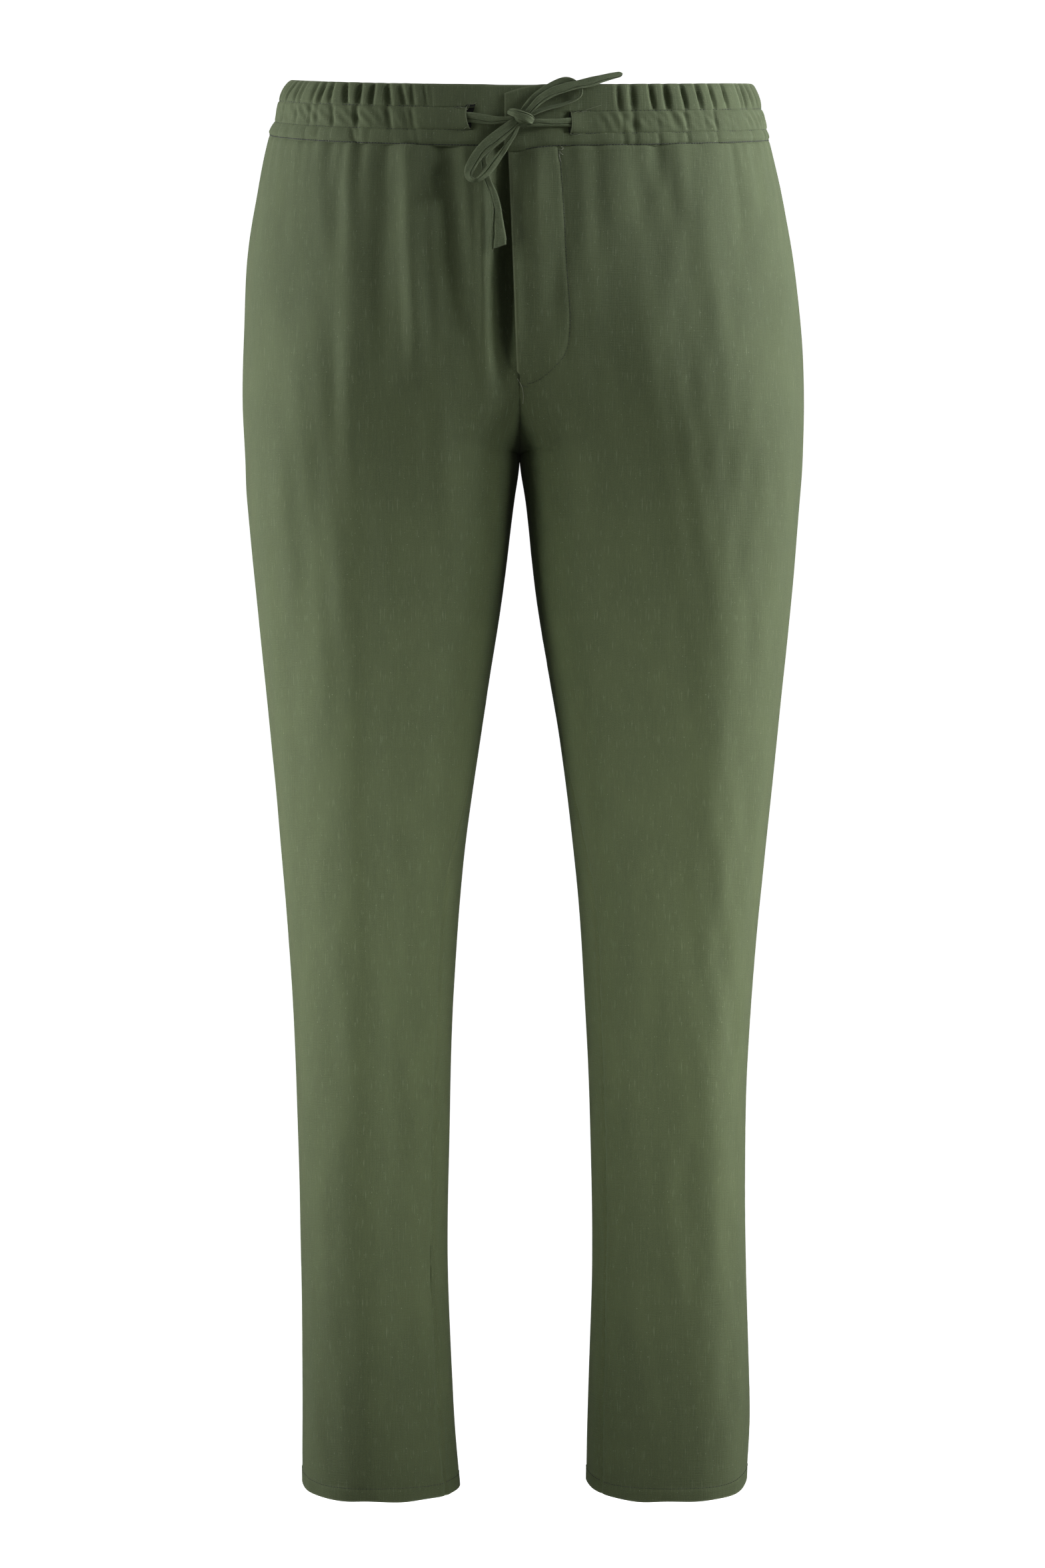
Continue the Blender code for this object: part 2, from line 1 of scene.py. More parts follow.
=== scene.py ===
# %% [markdown]
# # Linen drawstring trousers
# A pair of men's trousers in olive linen, filled out as if someone wore them. The solids of the frame give the
# form, the seams and the place of the bow. This lesson dresses them: thin cloth with folds and gathers, the
# stitched tunnel of the waistband, the tape with its bow, and the thread.
# The frame is loaded first, because every piece is placed by it.

# %% Load the frame
import math

import bpy
import numpy as np
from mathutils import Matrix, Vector
from mathutils.bvhtree import BVHTree


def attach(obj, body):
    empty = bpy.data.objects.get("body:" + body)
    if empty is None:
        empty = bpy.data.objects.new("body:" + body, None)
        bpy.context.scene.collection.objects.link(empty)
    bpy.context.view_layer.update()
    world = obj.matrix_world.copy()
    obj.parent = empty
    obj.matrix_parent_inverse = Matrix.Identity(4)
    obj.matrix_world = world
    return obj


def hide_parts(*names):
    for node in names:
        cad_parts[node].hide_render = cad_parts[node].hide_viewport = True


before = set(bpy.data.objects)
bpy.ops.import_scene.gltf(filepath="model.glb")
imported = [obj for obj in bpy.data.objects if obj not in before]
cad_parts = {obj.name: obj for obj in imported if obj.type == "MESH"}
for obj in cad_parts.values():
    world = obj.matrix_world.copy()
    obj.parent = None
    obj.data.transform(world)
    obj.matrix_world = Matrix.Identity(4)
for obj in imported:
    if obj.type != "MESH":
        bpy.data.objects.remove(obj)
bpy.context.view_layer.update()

# %% [markdown]
# ## Camera
# The trousers are seen from straight ahead, from 3.3 metres, with the eye level with the thighs. The lens is
# chosen so that the picture's height covers 1.133 metres at the middle of the garment.

# %% Make the camera
VIEW_HEIGHT = 1.1327  # metres, as are the next two
EYE_DISTANCE = 3.3
EYE_RIGHT, EYE_HEIGHT = 0.0019, -0.5085  # from the middle of the waist
SENSOR = 36.0  # millimetres, along the picture's long side

camera = bpy.data.objects.new("camera", bpy.data.cameras.new("camera"))
camera.data.sensor_width = SENSOR
camera.data.lens = SENSOR * EYE_DISTANCE / VIEW_HEIGHT
camera.location = (EYE_RIGHT, -EYE_DISTANCE, EYE_HEIGHT)
camera.rotation_euler = (math.pi / 2, 0, 0)
bpy.context.scene.collection.objects.link(camera)
bpy.context.scene.camera = camera
print("lens:", round(camera.data.lens, 1), "mm")

# %% [markdown]
# ## The form in sections
# Cloth on a body is easiest to describe by sections, as a tailor does: at each height a width and a depth for
# each side. The table is the one that the solids are made from, in millimetres, so the cloth lies where they are.
# A section is an ellipse with slightly squared corners. Above the crotch the two sides meet at the centre seam,
# and below it each leg has a ring of its own.

# %% Sizes of the sections
MM = 0.001
SIDES = {-1: "right", 1: "left"}  # the wearer's
TO_FRONT = np.array([0.0, -1.0, 0.0])
WALL = 0.9  # one layer of linen as it looks at an edge, in millimetres
BAND_HEIGHT = 43.0
TUNNEL_ROWS = {-1: (16.4, 33.0), 1: (19.4, 35.4)}  # below the top edge, on the wearer's right and left
TUNNEL_END = 36.0  # from the centre front
FRONT_DIP, BACK_RISE, TILT_END = -20.0, 12.0, -200.0  # the waist lies lower in front, and this fades downwards
SIDE_LIFTS = {-1: (0.0, 4.0), 1: (-3.0, 0.0)}  # of the top and the foot of the band, at the sides
FLY_BOTTOM, FLY_OVERLAP_TOP, FLY_OVERLAP_BOTTOM = -222.0, 8.0, 2.0
CLEFT_START, CROTCH, HEM = -60.0, -274.0, -1017.0  # the two sides part slowly from here to the crotch
CLEFT_FLATNESS, CLEFT_ROUNDNESS = 3.0, 1.4
SIDE_SEAM_ANGLE, INSEAM_ROLL, ROLL_START, ROLL_END = -5.0, 36.0, -400.0, -620.0  # degrees, then heights
ROUND_POWER, SPAN_POWER, SPAN_END = 2.15, 3.4, -470.0  # powers of the ellipses, flatter between the thighs
NEAR_SHARE, STRAIGHT_TOP, STRAIGHT_BOTTOM = 0.2, -215.0, -470.0  # the columns next to the centre, at the crotch

# Columns: height, outer half width right and left, inner half width right and left, front depth, back depth.
SECTIONS = [
    (0, 164, 168, 0, 0, 112, 114),
    (-14, 173, 173, 0, 0, 114, 118),
    (-28, 175, 176, 0, 0, 116, 122),
    (-43, 181, 180, 0, 0, 118, 126),
    (-87, 190, 190, 0, 0, 125, 137),
    (-135, 197, 198, 0, 0, 130, 146),
    (-183, 199, 203, 0, 0, 131, 149),
    (-231, 200, 205, 0, 0, 128, 147),
    (-274, 198, 204, 0, 0, 121, 139),
    (-303, 197, 202, 4, 4, 116, 133),
    (-376, 190, 196, 13, 12, 106, 120),
    (-472, 180, 186, 28, 28, 95, 105),
    (-568, 171, 176, 41, 40, 86, 92),
    (-665, 164, 167, 48, 47, 78, 82),
    (-761, 160, 163, 51, 51, 71, 76),
    (-857, 158, 163, 52, 52, 67, 72),
    (-954, 157, 166, 48, 49, 65, 71),
    (-1017, 157, 164, 43, 48, 65, 71),
]
HEIGHTS, OUTER_RIGHT, OUTER_LEFT, INNER_RIGHT, INNER_LEFT, FRONT_DEPTH, BACK_DEPTH = (
    np.array(SECTIONS[::-1], float).T
)
print("sections:", len(SECTIONS))


# %% Curves through the table
def ease(value, start, end):
    """0 at start and 1 at end, with soft ends."""
    part = np.clip((np.asarray(value, float) - start) / (end - start), 0.0, 1.0)
    return part * part * (3 - 2 * part)


def through(places, values, wanted):
    """A smooth curve through (place, value) pairs with rising places, read at the wanted places."""
    places, values, wanted = (np.asarray(each, float) for each in (places, values, wanted))
    last = len(places) - 1
    low, high = np.maximum(np.arange(last + 1) - 1, 0), np.minimum(np.arange(last + 1) + 1, last)
    slopes = (values[high] - values[low]) / (places[high] - places[low])
    index = np.clip(np.searchsorted(places, wanted) - 1, 0, last - 1)
    span = places[index + 1] - places[index]
    t = np.clip((wanted - places[index]) / span, 0, 1)
    return (
        values[index] * (2 * t**3 - 3 * t**2 + 1)
        + slopes[index] * span * (t**3 - 2 * t**2 + t)
        + values[index + 1] * (3 * t**2 - 2 * t**3)
        + slopes[index + 1] * span * (t**3 - t**2)
    )


def hump(value, width):
    """1 where the value is 0, and falling smoothly to nothing at about twice the width."""
    return np.exp(-((value / width) ** 2))


def unit(vectors):
    """The same directions with a length of one."""
    return vectors / np.linalg.norm(vectors, axis=-1, keepdims=True)


def distances(points):
    """Each point's distance from the first one, along the line."""
    return np.concatenate([[0.0], np.cumsum(np.linalg.norm(np.diff(points, axis=0), axis=1))])


def section(height, side):
    """Outer half width, inner half width, front depth and back depth. side is -1 for the wearer's right."""
    outer, inner = (OUTER_RIGHT, INNER_RIGHT) if side < 0 else (OUTER_LEFT, INNER_LEFT)
    return [through(HEIGHTS, column, height) for column in (outer, inner, FRONT_DEPTH, BACK_DEPTH)]


def tilt(height, x, y, side):
    """How far the waist's dip, rise and side lift move a point up or down."""
    out = np.sqrt(np.maximum(1 - (x / section(height, side)[0]) ** 2, 0.0))
    top_lift, foot_lift = SIDE_LIFTS[side]
    side_lift = top_lift + (foot_lift - top_lift) * min(-height / BAND_HEIGHT, 1.0)
    dip = np.where(y < 0, FRONT_DIP, BACK_RISE)
    return (dip * out + side_lift * (1 - out)) * (1 - ease(height, -BAND_HEIGHT, TILT_END))


print("hip width:", float(section(-183, -1)[0] + section(-183, 1)[0]), "mm")


# %% One section as a line of points
def ring(height, side):
    """Centre, half width, front depth and back depth of the ellipse of one side."""
    outer, inner, front, back = section(height, side)
    if height > CROTCH:
        share = max((CLEFT_START - height) / (CLEFT_START - CROTCH), 0.0)
        radius = outer / (2 - (1 - share**CLEFT_FLATNESS) ** CLEFT_ROUNDNESS)
        return outer - radius, radius, front, back
    return (outer + inner) / 2, (outer - inner) / 2, front, back


def inner_power(height):
    return ROUND_POWER + (SPAN_POWER - ROUND_POWER) * (1 - ease(height, CROTCH, SPAN_END))


def ring_line(axes, height, angles):
    """Points of a ring: 0 degrees is the side, 90 the front, 180 the inner side and 270 the back."""
    centre, radius, front, back = axes
    across, out = np.cos(np.radians(angles)), np.sin(np.radians(angles))
    power = 2 / np.where(across < 0, inner_power(height), ROUND_POWER)
    x = centre + radius * np.sign(across) * np.abs(across) ** power
    return np.column_stack([x, -np.where(out > 0, front, -back) * np.abs(out) ** power])


def evened(points):
    """The same line with its points evenly apart, and each point's distance from its start."""
    along = distances(points)
    places = np.linspace(0.0, along[-1], len(points))
    return np.column_stack([np.interp(places, along, column) for column in points.T]), places


def outward(points):
    """Unit vectors square to a line of points."""
    step = np.gradient(points, axis=0)
    return unit(np.column_stack([step[:, 1], -step[:, 0]]))


def front_y(x, z):
    """The y of the smooth front at a place."""
    side = -1 if x < 0 else 1
    height = z
    for _ in range(8):
        height = z - float(tilt(height, x, -1.0, side))
    centre, radius, front, _ = ring(height, side)
    share = (abs(x) - centre) / radius
    power = inner_power(height) if share < 0 else ROUND_POWER
    return float(-front * (1 - abs(share) ** power) ** (1 / power))


print("front of the waist:", round(front_y(0, -40), 1), "mm")

# %% [markdown]
# ## Colour and cloth
# The trousers are linen: flax yarn in a plain weave, dyed one olive green. Flax yarn is uneven, so thick places
# (slubs) show as pale and dark streaks along the warp, with a few pale flecks where a hair of flax took less dye.
# The surface is matt, and its loose fibres catch light that grazes it, which the shader calls sheen.
# The streaks follow the cloth and not the room, so the materials read the cloth's own UV map, laid out in metres.

# %% Helpers for materials
def srgb(text):
    """A hex colour as the linear values that Blender works with."""
    parts = [int(text[i : i + 2], 16) / 255 for i in (1, 3, 5)]
    return (*[c / 12.92 if c <= 0.04045 else ((c + 0.055) / 1.055) ** 2.4 for c in parts], 1.0)


def node(tree, kind, links=(), **settings):
    """Adds a node. links pairs an input with an output, and settings are its values and options."""
    made = tree.nodes.new(kind)
    for key, value in settings.items():
        if hasattr(made, key):
            setattr(made, key, value)
        else:
            made.inputs[key.replace("_", " ")].default_value = value
    for name, output in links:
        tree.links.new(output, made.inputs[name])
    return made


def new_material(name, **settings):
    """A material, its tree and its shader, with the shader's inputs set."""
    made = bpy.data.materials.new(name)
    made.use_nodes = True
    shader = made.node_tree.nodes["Principled BSDF"]
    for key, value in settings.items():
        shader.inputs[key.replace("_", " ")].default_value = value
    return made, made.node_tree, shader


def dimmed(colour, share):
    return tuple(share * part for part in colour[:3]) + (1.0,)


print("olive:", [round(part, 3) for part in srgb("#586247")])


# %% Linen
def linen(name, base, streak, fleck, strength):
    """Plain-weave linen. base, streak and fleck are its colours, and strength is the height of its grain."""
    made, tree, shader = new_material(
        name, Roughness=0.88, Specular_IOR_Level=0.25,
        Sheen_Weight=0.16, Sheen_Roughness=0.45, Sheen_Tint=srgb("#c9d2b4"),
    )
    cloth_map = node(tree, "ShaderNodeUVMap", uv_map="cloth").outputs["UV"]

    def pattern(width_mm, length_mm, detail=2.0, roughness=0.5):
        """Noise whose spots are so wide across the cloth and so long along the warp."""
        scaled = node(
            tree, "ShaderNodeMapping", [("Vector", cloth_map)],
            Scale=(1 / (width_mm * MM), 1 / (length_mm * MM), 1.0),
        )
        spots = node(
            tree, "ShaderNodeTexNoise", [("Vector", scaled.outputs["Vector"])],
            noise_dimensions="2D", Scale=1.0, Detail=detail, Roughness=roughness,
        )
        return spots.outputs["Fac"]

    def band(value, low, high):
        """Turns the values between low and high into 0 to 1."""
        made_range = node(tree, "ShaderNodeMapRange", [("Value", value)], From_Min=low, From_Max=high)
        return made_range.outputs["Result"]

    def mixed(amount, first, second):
        made_mix = node(tree, "ShaderNodeMix", data_type="RGBA")
        for index, value in ((0, amount), (6, first), (7, second)):
            if isinstance(value, bpy.types.NodeSocket):
                tree.links.new(value, made_mix.inputs[index])
            else:
                made_mix.inputs[index].default_value = value
        return made_mix.outputs[2]

    warp = pattern(0.9, 20.0, 3.0, 0.6)  # yarns are 0.5 mm wide, drawn 0.9 mm so that they show
    weft = pattern(12.0, 0.9, 2.0, 0.6)
    mottle = pattern(26.0, 60.0)
    slubs = pattern(1.0, 11.0, 1.0)
    grain = pattern(0.55, 0.7, 1.0)
    flecks = pattern(1.0, 1.9, 1.0)
    dim = dimmed(base, 0.80)
    colour = base
    for value, low, high, other in (
        (warp, 0.34, 0.92, streak), (weft, 0.54, 1.60, dim), (grain, 0.45, 1.00, streak), (grain, 0.55, 0.05, dim),
        (mottle, 0.42, 1.25, streak), (slubs, 0.66, 1.25, fleck), (flecks, 0.785, 0.87, fleck),
    ):
        colour = mixed(band(value, low, high), colour, other)
    # Folded edges are drawn paler, towards the fleck colour: partly wear, partly a painted highlight where light
    # catches the edge.
    edge_wear_and_highlight = node(tree, "ShaderNodeAttribute", attribute_name="wear_and_highlight").outputs["Fac"]
    tree.links.new(mixed(edge_wear_and_highlight, colour, fleck), shader.inputs["Base Color"])

    height = node(tree, "ShaderNodeMath", operation="ADD")
    tree.links.new(warp, height.inputs[0])
    tree.links.new(weft, height.inputs[1])
    bump = node(
        tree, "ShaderNodeBump", [("Height", height.outputs["Value"])], Strength=strength, Distance=0.4 * MM,
    )
    tree.links.new(bump.outputs["Normal"], shader.inputs["Normal"])
    return made


olive_linen = linen("olive_linen", srgb("#586247"), srgb("#636e4e"), srgb("#8d9678"), 0.40)
tape_linen = linen("olive_linen_tape", srgb("#5c674c"), srgb("#687456"), srgb("#8d9678"), 0.5)


# %% Thread
def thread_material(name, colour, sheen):
    """Twisted polyester thread: smoother than linen, with a soft shine."""
    made, tree, shader = new_material(name, Roughness=0.6, Sheen_Weight=sheen)
    place = node(tree, "ShaderNodeTexCoord").outputs["Object"]
    twist = node(tree, "ShaderNodeTexNoise", [("Vector", place)], Scale=2500.0, Detail=1.0)
    shade = node(tree, "ShaderNodeMix", data_type="RGBA")
    shade.inputs[6].default_value = colour
    shade.inputs[7].default_value = dimmed(colour, 0.7)
    tree.links.new(twist.outputs["Fac"], shade.inputs[0])
    tree.links.new(shade.outputs[2], shader.inputs["Base Color"])
    return made


# Dark thread colour, used for the waist seam and the needle holes: there it is also painted shade of the seam's ditch
# and of the holes.
thread_and_painted_shade = thread_material("dark_thread_and_painted_shade", srgb("#2f3627"), 0.1)
pale_thread = thread_material("pale_loose_thread", srgb("#a9ab98"), 0.2)
frayed_yarn = thread_material("frayed_linen_yarn", srgb("#7f8a66"), 0.2)
# A near-black colour for the sheets inside the slits: painted shade, not a colour of the cloth.
painted_slit_shade = thread_material("painted_shade_inside_the_slits", srgb("#14180f"), 0.0)
tack_thread = thread_material("olive_bartack_thread", srgb("#3a422f"), 0.1)
print("materials:", [made.name for made in bpy.data.materials])

# %% [markdown]
# ## The tape of the drawstring
# The drawstring is a strip of the same linen, folded to a flat tape of about 6 mm with its raw edges turned in,
# which shows as a groove beside one edge. It comes out of the tunnel on both sides, and is tied in a bow whose
# loops and ends hang to opposite sides. Each run is a mesh drawn along its own route. A route says for each point
# how far the tape stands off the front, how wide it is and how it is turned about its own line.

# %% Draw a tape along a route
TAPE_WIDTH = 0.006  # metres
TAPE_STEP = 0.8  # along a route, in mm
TAPE_HALF = 0.85  # half the thickness of the folded tape
GROOVE_HALF = 0.042  # half the width of the groove, as a share of the tape's
GROOVE_SLOPE, GROOVE_LIMIT = 26.0, 0.05  # its depth in mm for each share of half width, and where it gets no deeper
TURNED_EDGE = 0.22  # beyond the groove the tape is this much thinner


def tape_rise(share):
    return TAPE_HALF * np.sqrt(1 - np.abs(2 * share) ** 3)


def tape_profile(groove, half):
    """The cross-section of the tape: shares of its width, and heights off its middle, all the way round. half is
    the half width of its groove."""
    near_groove = groove + half * np.array([-2.3, -1.15, 0.0, 1.15, 2.3])
    front = np.sort(np.concatenate([np.linspace(-0.5, 0.5, 13), np.clip(near_groove, -0.49, 0.49)]))
    rise = tape_rise(front) - GROOVE_SLOPE * min(half, GROOVE_LIMIT) * hump(front - groove, half)
    rise -= TURNED_EDGE * (np.abs(2 * front) < 0.99) * (front > groove)
    back = np.linspace(0.5, -0.5, 9)[1:-1]
    return np.concatenate([front, back]), np.concatenate([rise, -tape_rise(back)])


def tube_faces(rings, size):
    """Faces between the rings of a tube. Each ring has so many points."""
    return [
        (first + corner, first + size + corner, first + size + (corner + 1) % size, first + (corner + 1) % size)
        for first in range(0, (rings - 1) * size, size)
        for corner in range(size)
    ]


def closed_tube(rings, size):
    """Faces of a tube with both ends closed."""
    last = rings * size - 1
    return tube_faces(rings, size) + [tuple(range(size)), tuple(last - corner for corner in range(size))]


def mesh_piece(name, points, faces, material):
    """A smooth-shaded piece from points in millimetres, riding on the garment."""
    mesh = bpy.data.meshes.new(name)
    mesh.from_pydata((np.asarray(points) * MM).tolist(), [], [tuple(face) for face in faces])
    mesh.shade_smooth()
    mesh.set_sharp_from_angle(angle=math.radians(55))
    mesh.materials.append(material)
    piece = bpy.data.objects.new(name, mesh)
    bpy.context.scene.collection.objects.link(piece)
    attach(piece, "root")
    return piece


def route_points(route):
    """Points of a route, a tape's step apart, with widths and turns."""
    route = np.array(route, float)
    along = distances(route[:, :2])
    places = np.linspace(0, along[-1], int(along[-1] / TAPE_STEP) + 1)
    x, z, lift, width, turn = (through(along, column, places) for column in route.T)
    y = np.array([front_y(*place) for place in zip(x, z)]) - lift
    return np.column_stack([x, y, z]), width, np.radians(turn)


def set_cloth_map(mesh, uv):
    """Gives a mesh its UV map in metres along the cloth, from one pair of values per vertex."""
    layer = mesh.uv_layers.new(name="cloth")
    corners = np.zeros(len(mesh.loops), dtype=np.int32)
    mesh.loops.foreach_get("vertex_index", corners)
    layer.data.foreach_set("uv", np.asarray(uv, np.float32)[corners].ravel())


def set_wear_and_highlight(mesh, wear_and_highlight):
    """How pale each vertex is drawn, which the linen reads: wear along folded edges together with a painted highlight
    there.
    """
    mesh.attributes.new("wear_and_highlight", "FLOAT", "POINT").data.foreach_set("value", np.asarray(wear_and_highlight, np.float32))


def swell(u, v, wide, tall, seed, waves=14):
    """Soft uneven relief round zero from a few sine waves, about so wide and so tall."""
    random = np.random.default_rng(seed)
    total = 0.0
    for _ in range(waves):
        across, up = random.uniform(0.4, 1.6, 2) * (random.choice((-1, 1)), 1)
        total = total + np.sin(math.tau * (u / wide * across + v / tall * up) + random.uniform(0, math.tau))
    return total / waves**0.5


def tape(name, route, groove, creases=(), slant=0.0, opened=0.0, rounded=0.0):
    """A run of tape. creases are places along it where it is pressed flat. At its end, slant skews the cut, opened
    widens the groove and rounded is the length of the rounding."""
    line, width, turn = route_points(route)
    forward = unit(np.gradient(line, axis=0))
    face = unit(TO_FRONT - forward * (forward @ TO_FRONT)[:, None])
    flank = np.cross(forward, face)
    cos, sin = np.cos(turn)[:, None], np.sin(turn)[:, None]
    face, flank = face * cos + flank * sin, flank * cos - face * sin
    along = np.arange(len(line)) * TAPE_STEP
    end = along[-1]
    flat = np.ones(len(along)) - sum(0.6 * hump(along - crease, 0.6) for crease in creases)
    skew = slant * ease(along, end - 9, end)
    half_groove = GROOVE_HALF + opened * ease(along, end - 34, end - 10)
    if rounded:
        width = width * np.sqrt(1 - 0.9 * np.clip((along - end + rounded) / rounded, 0, 1) ** 2)
    seed = sum(map(ord, name))
    groove_at = groove + (0.05 * np.sin(along / 7.0 + seed) + 0.03 * np.sin(along / 2.9 + seed))
    rings, edge_wear_and_highlight = [], []
    for index, place in enumerate(groove_at):
        share, rise = tape_profile(place, float(half_groove[index]))
        ripple = 0.14 * swell(share * width[index], along[index], 5.0, 16.0, seed) * (rise > 0.1)
        across = flank[index] * (share * width[index])[:, None] + forward[index] * (share * skew[index])[:, None]
        rings.append(line[index] + across + face[index] * (rise * flat[index] + ripple)[:, None])
        # The tape's edges and the ridge beside its groove are drawn paler: partly wear, partly a painted highlight.
        edge_wear_and_highlight.append(0.40 * hump(0.5 - np.abs(share), 0.035) + 0.20 * hump(share - place - 0.07, 0.03))
    size = len(share)
    piece = mesh_piece(name, np.concatenate(rings), closed_tube(len(rings), size), tape_linen)
    v = np.repeat(along * MM, size)
    u = np.cumsum(np.hypot(np.diff(share, prepend=share[0]) * TAPE_WIDTH, np.diff(rise, prepend=0) * MM))
    set_cloth_map(piece.data, np.column_stack([np.tile(u, len(rings)), v]))
    set_wear_and_highlight(piece.data, np.concatenate(edge_wear_and_highlight))
    return piece, line


# %% Routes of the bow
# Columns: x, height, lift off the front, width, turn in degrees. All in mm.
ROUTES = {
    "drawstring_run_right": [
        (-47.5, -43.0, -0.6, 6.4, 0), (-41, -43.2, -0.2, 7.0, 0), (-34.7, -43.6, 0.9, 7.2, 4),
        (-24.6, -45.2, 2.2, 6.6, 10), (-17.1, -46.2, 3.4, 5.6, 18), (-9.6, -46.0, 4.6, 4.4, 24),
        (-3.6, -45.6, 5.0, 3.8, 20),
    ],
    "drawstring_run_left": [
        (47.5, -46.6, -0.6, 6.0, 0), (41, -46.8, -0.2, 6.4, 0), (35.5, -47.2, 0.9, 6.6, -6),
        (28, -47.6, 1.9, 5.6, -14), (19, -48.0, 3.2, 5.4, -20), (11.2, -48.2, 4.4, 5.6, -24),
        (4.8, -48.6, 4.6, 4.6, -20),
    ],
    "drawstring_loop_upper": [
        (1.4, -42.0, 4.4, 4.6, 0), (5.6, -36.6, 4.6, 6.0, 0), (11.0, -30.6, 4.8, 6.4, 0), (18.0, -25.2, 4.8, 6.4, 4),
        (26.6, -20.2, 4.8, 6.2, 8), (32.4, -18.6, 4.8, 6.2, 12), (38.0, -20.2, 5.0, 5.8, 28),
        (42.4, -24.4, 4.8, 5.2, 60), (41.6, -29.0, 4.0, 4.6, 66), (37.0, -32.0, 3.4, 4.2, 58),
        (28.6, -35.2, 3.2, 4.0, 50), (18.4, -38.0, 3.6, 4.0, 46), (9.8, -41.2, 4.2, 4.0, 30),
        (4.4, -44.0, 4.2, 4.0, 10),
    ],
    "drawstring_tail_upper": [
        (4.0, -43.0, 5.6, 4.0, 0), (8.4, -38.2, 7.2, 5.0, -6), (14.5, -32.0, 7.8, 6.2, -8),
        (22.6, -26.9, 8.0, 6.8, -8), (31.8, -23.4, 8.0, 6.6, -6), (40.0, -21.3, 7.8, 6.0, -4),
        (50.4, -18.8, 7.4, 6.8, 0), (56.4, -16.8, 7.0, 5.6, 8), (63.5, -14.6, 6.4, 4.8, 10),
        (71.7, -12.4, 5.6, 3.8, 6),
    ],
    "drawstring_loop_lower": [
        (-1.6, -46.4, 5.0, 5.6, 0), (-5.4, -49.6, 5.4, 7.2, 8), (-10.4, -54.0, 5.6, 8.6, 10),
        (-16.6, -59.0, 5.8, 9.0, 8), (-23.0, -64.4, 6.0, 8.8, 4), (-28.6, -70.4, 6.2, 8.0, 2),
        (-33.0, -77.2, 6.4, 7.4, 4), (-35.4, -83.4, 6.8, 6.8, 16), (-34.4, -88.0, 7.2, 5.8, 44),
        (-30.4, -89.4, 7.6, 5.0, 62), (-25.0, -85.8, 7.8, 5.6, 34), (-19.2, -79.2, 7.6, 5.6, 12),
        (-13.8, -71.8, 7.2, 4.8, 0), (-8.8, -64.6, 6.6, 4.0, -24), (-4.2, -57.4, 6.0, 3.6, -40),
        (-1.2, -50.6, 5.0, 3.4, -30),
    ],
    "drawstring_tail_lower": [
        (-5.8, -50.8, 1.6, 4.6, 0), (-12.8, -58.4, 2.0, 5.0, 0), (-20.4, -65.0, 2.4, 5.0, 0),
        (-24.8, -71.6, 3.0, 4.6, 0), (-24.6, -78.6, 3.4, 4.2, 0), (-23.3, -85.2, 3.8, 4.2, 6),
        (-21.2, -91.6, 4.2, 4.4, 12), (-18.0, -99.0, 4.6, 4.8, 8), (-16.1, -106.9, 5.0, 5.6, 0),
        (-15.6, -115.0, 5.6, 7.4, 0), (-15.1, -123.5, 6.0, 9.2, 0), (-14.7, -131.0, 6.2, 10.8, 0),
        (-14.5, -136.4, 6.0, 10.2, 0),
    ],
}
# Where the groove of the folded edge lies across each run, as a share of its width.
GROOVES = {
    "drawstring_run_right": 0.16, "drawstring_run_left": -0.14, "drawstring_loop_upper": 0.2,
    "drawstring_tail_upper": 0.27, "drawstring_loop_lower": -0.24, "drawstring_tail_lower": 0.33,
}
# What the free ends have: a rounded one, and one that is creased, cut aslant and a little open.
ENDS = {
    "drawstring_tail_upper": {"rounded": 2.8},
    "drawstring_tail_lower": {"creases": (61.5, 74.5), "slant": 3.0, "opened": 0.035},
}
tapes = {}
for name, route in ROUTES.items():
    tapes[name] = tape(name, route, GROOVES[name], **ENDS.get(name, {}))
    piece, line = tapes[name]
    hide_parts(name)
    print(name, round(float(distances(line)[-1])), "mm")

# %% [markdown]
# The knot is the same tape, wound once round the crossing of the runs. A lump of squeezed cloth sits inside,
# and a band crosses over it slantwise and tucks in behind.

# %% The knot
KNOT_CENTRE = (1.8, -45.4, 4.9)  # x, height and lift off the front
KNOT_SIZE = (12.5, 7.0, 7.6)
KNOT_SLOPE = math.radians(22)
PLEATS, PLEAT_DEPTH = 34, 0.07
bpy.ops.object.select_all(action="DESELECT")
bpy.ops.mesh.primitive_uv_sphere_add(segments=40, ring_count=24, radius=0.5)
knot = bpy.context.object
knot.name = knot.data.name = "drawstring_knot_core"
knot_x, knot_z, knot_lift = KNOT_CENTRE
knot_y = front_y(knot_x, knot_z) - knot_lift
for vertex in knot.data.vertices:
    across, out, up = vertex.co
    pleat = 1 + PLEAT_DEPTH * math.sin(PLEATS * up + 9 * across) * (1 - abs(2 * across))
    across, out, up = across * KNOT_SIZE[0], out * KNOT_SIZE[1] * pleat, up * KNOT_SIZE[2] * pleat
    right = across * math.cos(KNOT_SLOPE) + up * math.sin(KNOT_SLOPE)
    rise = up * math.cos(KNOT_SLOPE) - across * math.sin(KNOT_SLOPE)
    vertex.co = Vector((knot_x + right, knot_y + out, knot_z + rise)) * MM
knot.data.shade_smooth()
knot.data.materials.append(tape_linen)
set_cloth_map(knot.data, [(vertex.co.x, vertex.co.z) for vertex in knot.data.vertices])
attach(knot, "root")
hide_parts("drawstring_knot")

WRAP_ROUTE = [
    (-7.8, -39.8, 2.6, 4.0, 0), (-6.2, -40.6, 6.4, 5.0, 0), (-3.4, -41.8, 9.2, 5.8, 0), (1.6, -43.9, 10.2, 6.2, 0),
    (5.8, -45.6, 9.6, 6.4, 0), (8.4, -46.7, 7.4, 5.6, 0), (9.8, -47.3, 3.6, 4.2, 0),
]
knot_wrap, _ = tape("drawstring_knot_wrap", WRAP_ROUTE, groove=-0.3)
print("knot:", len(knot.data.polygons), "faces")
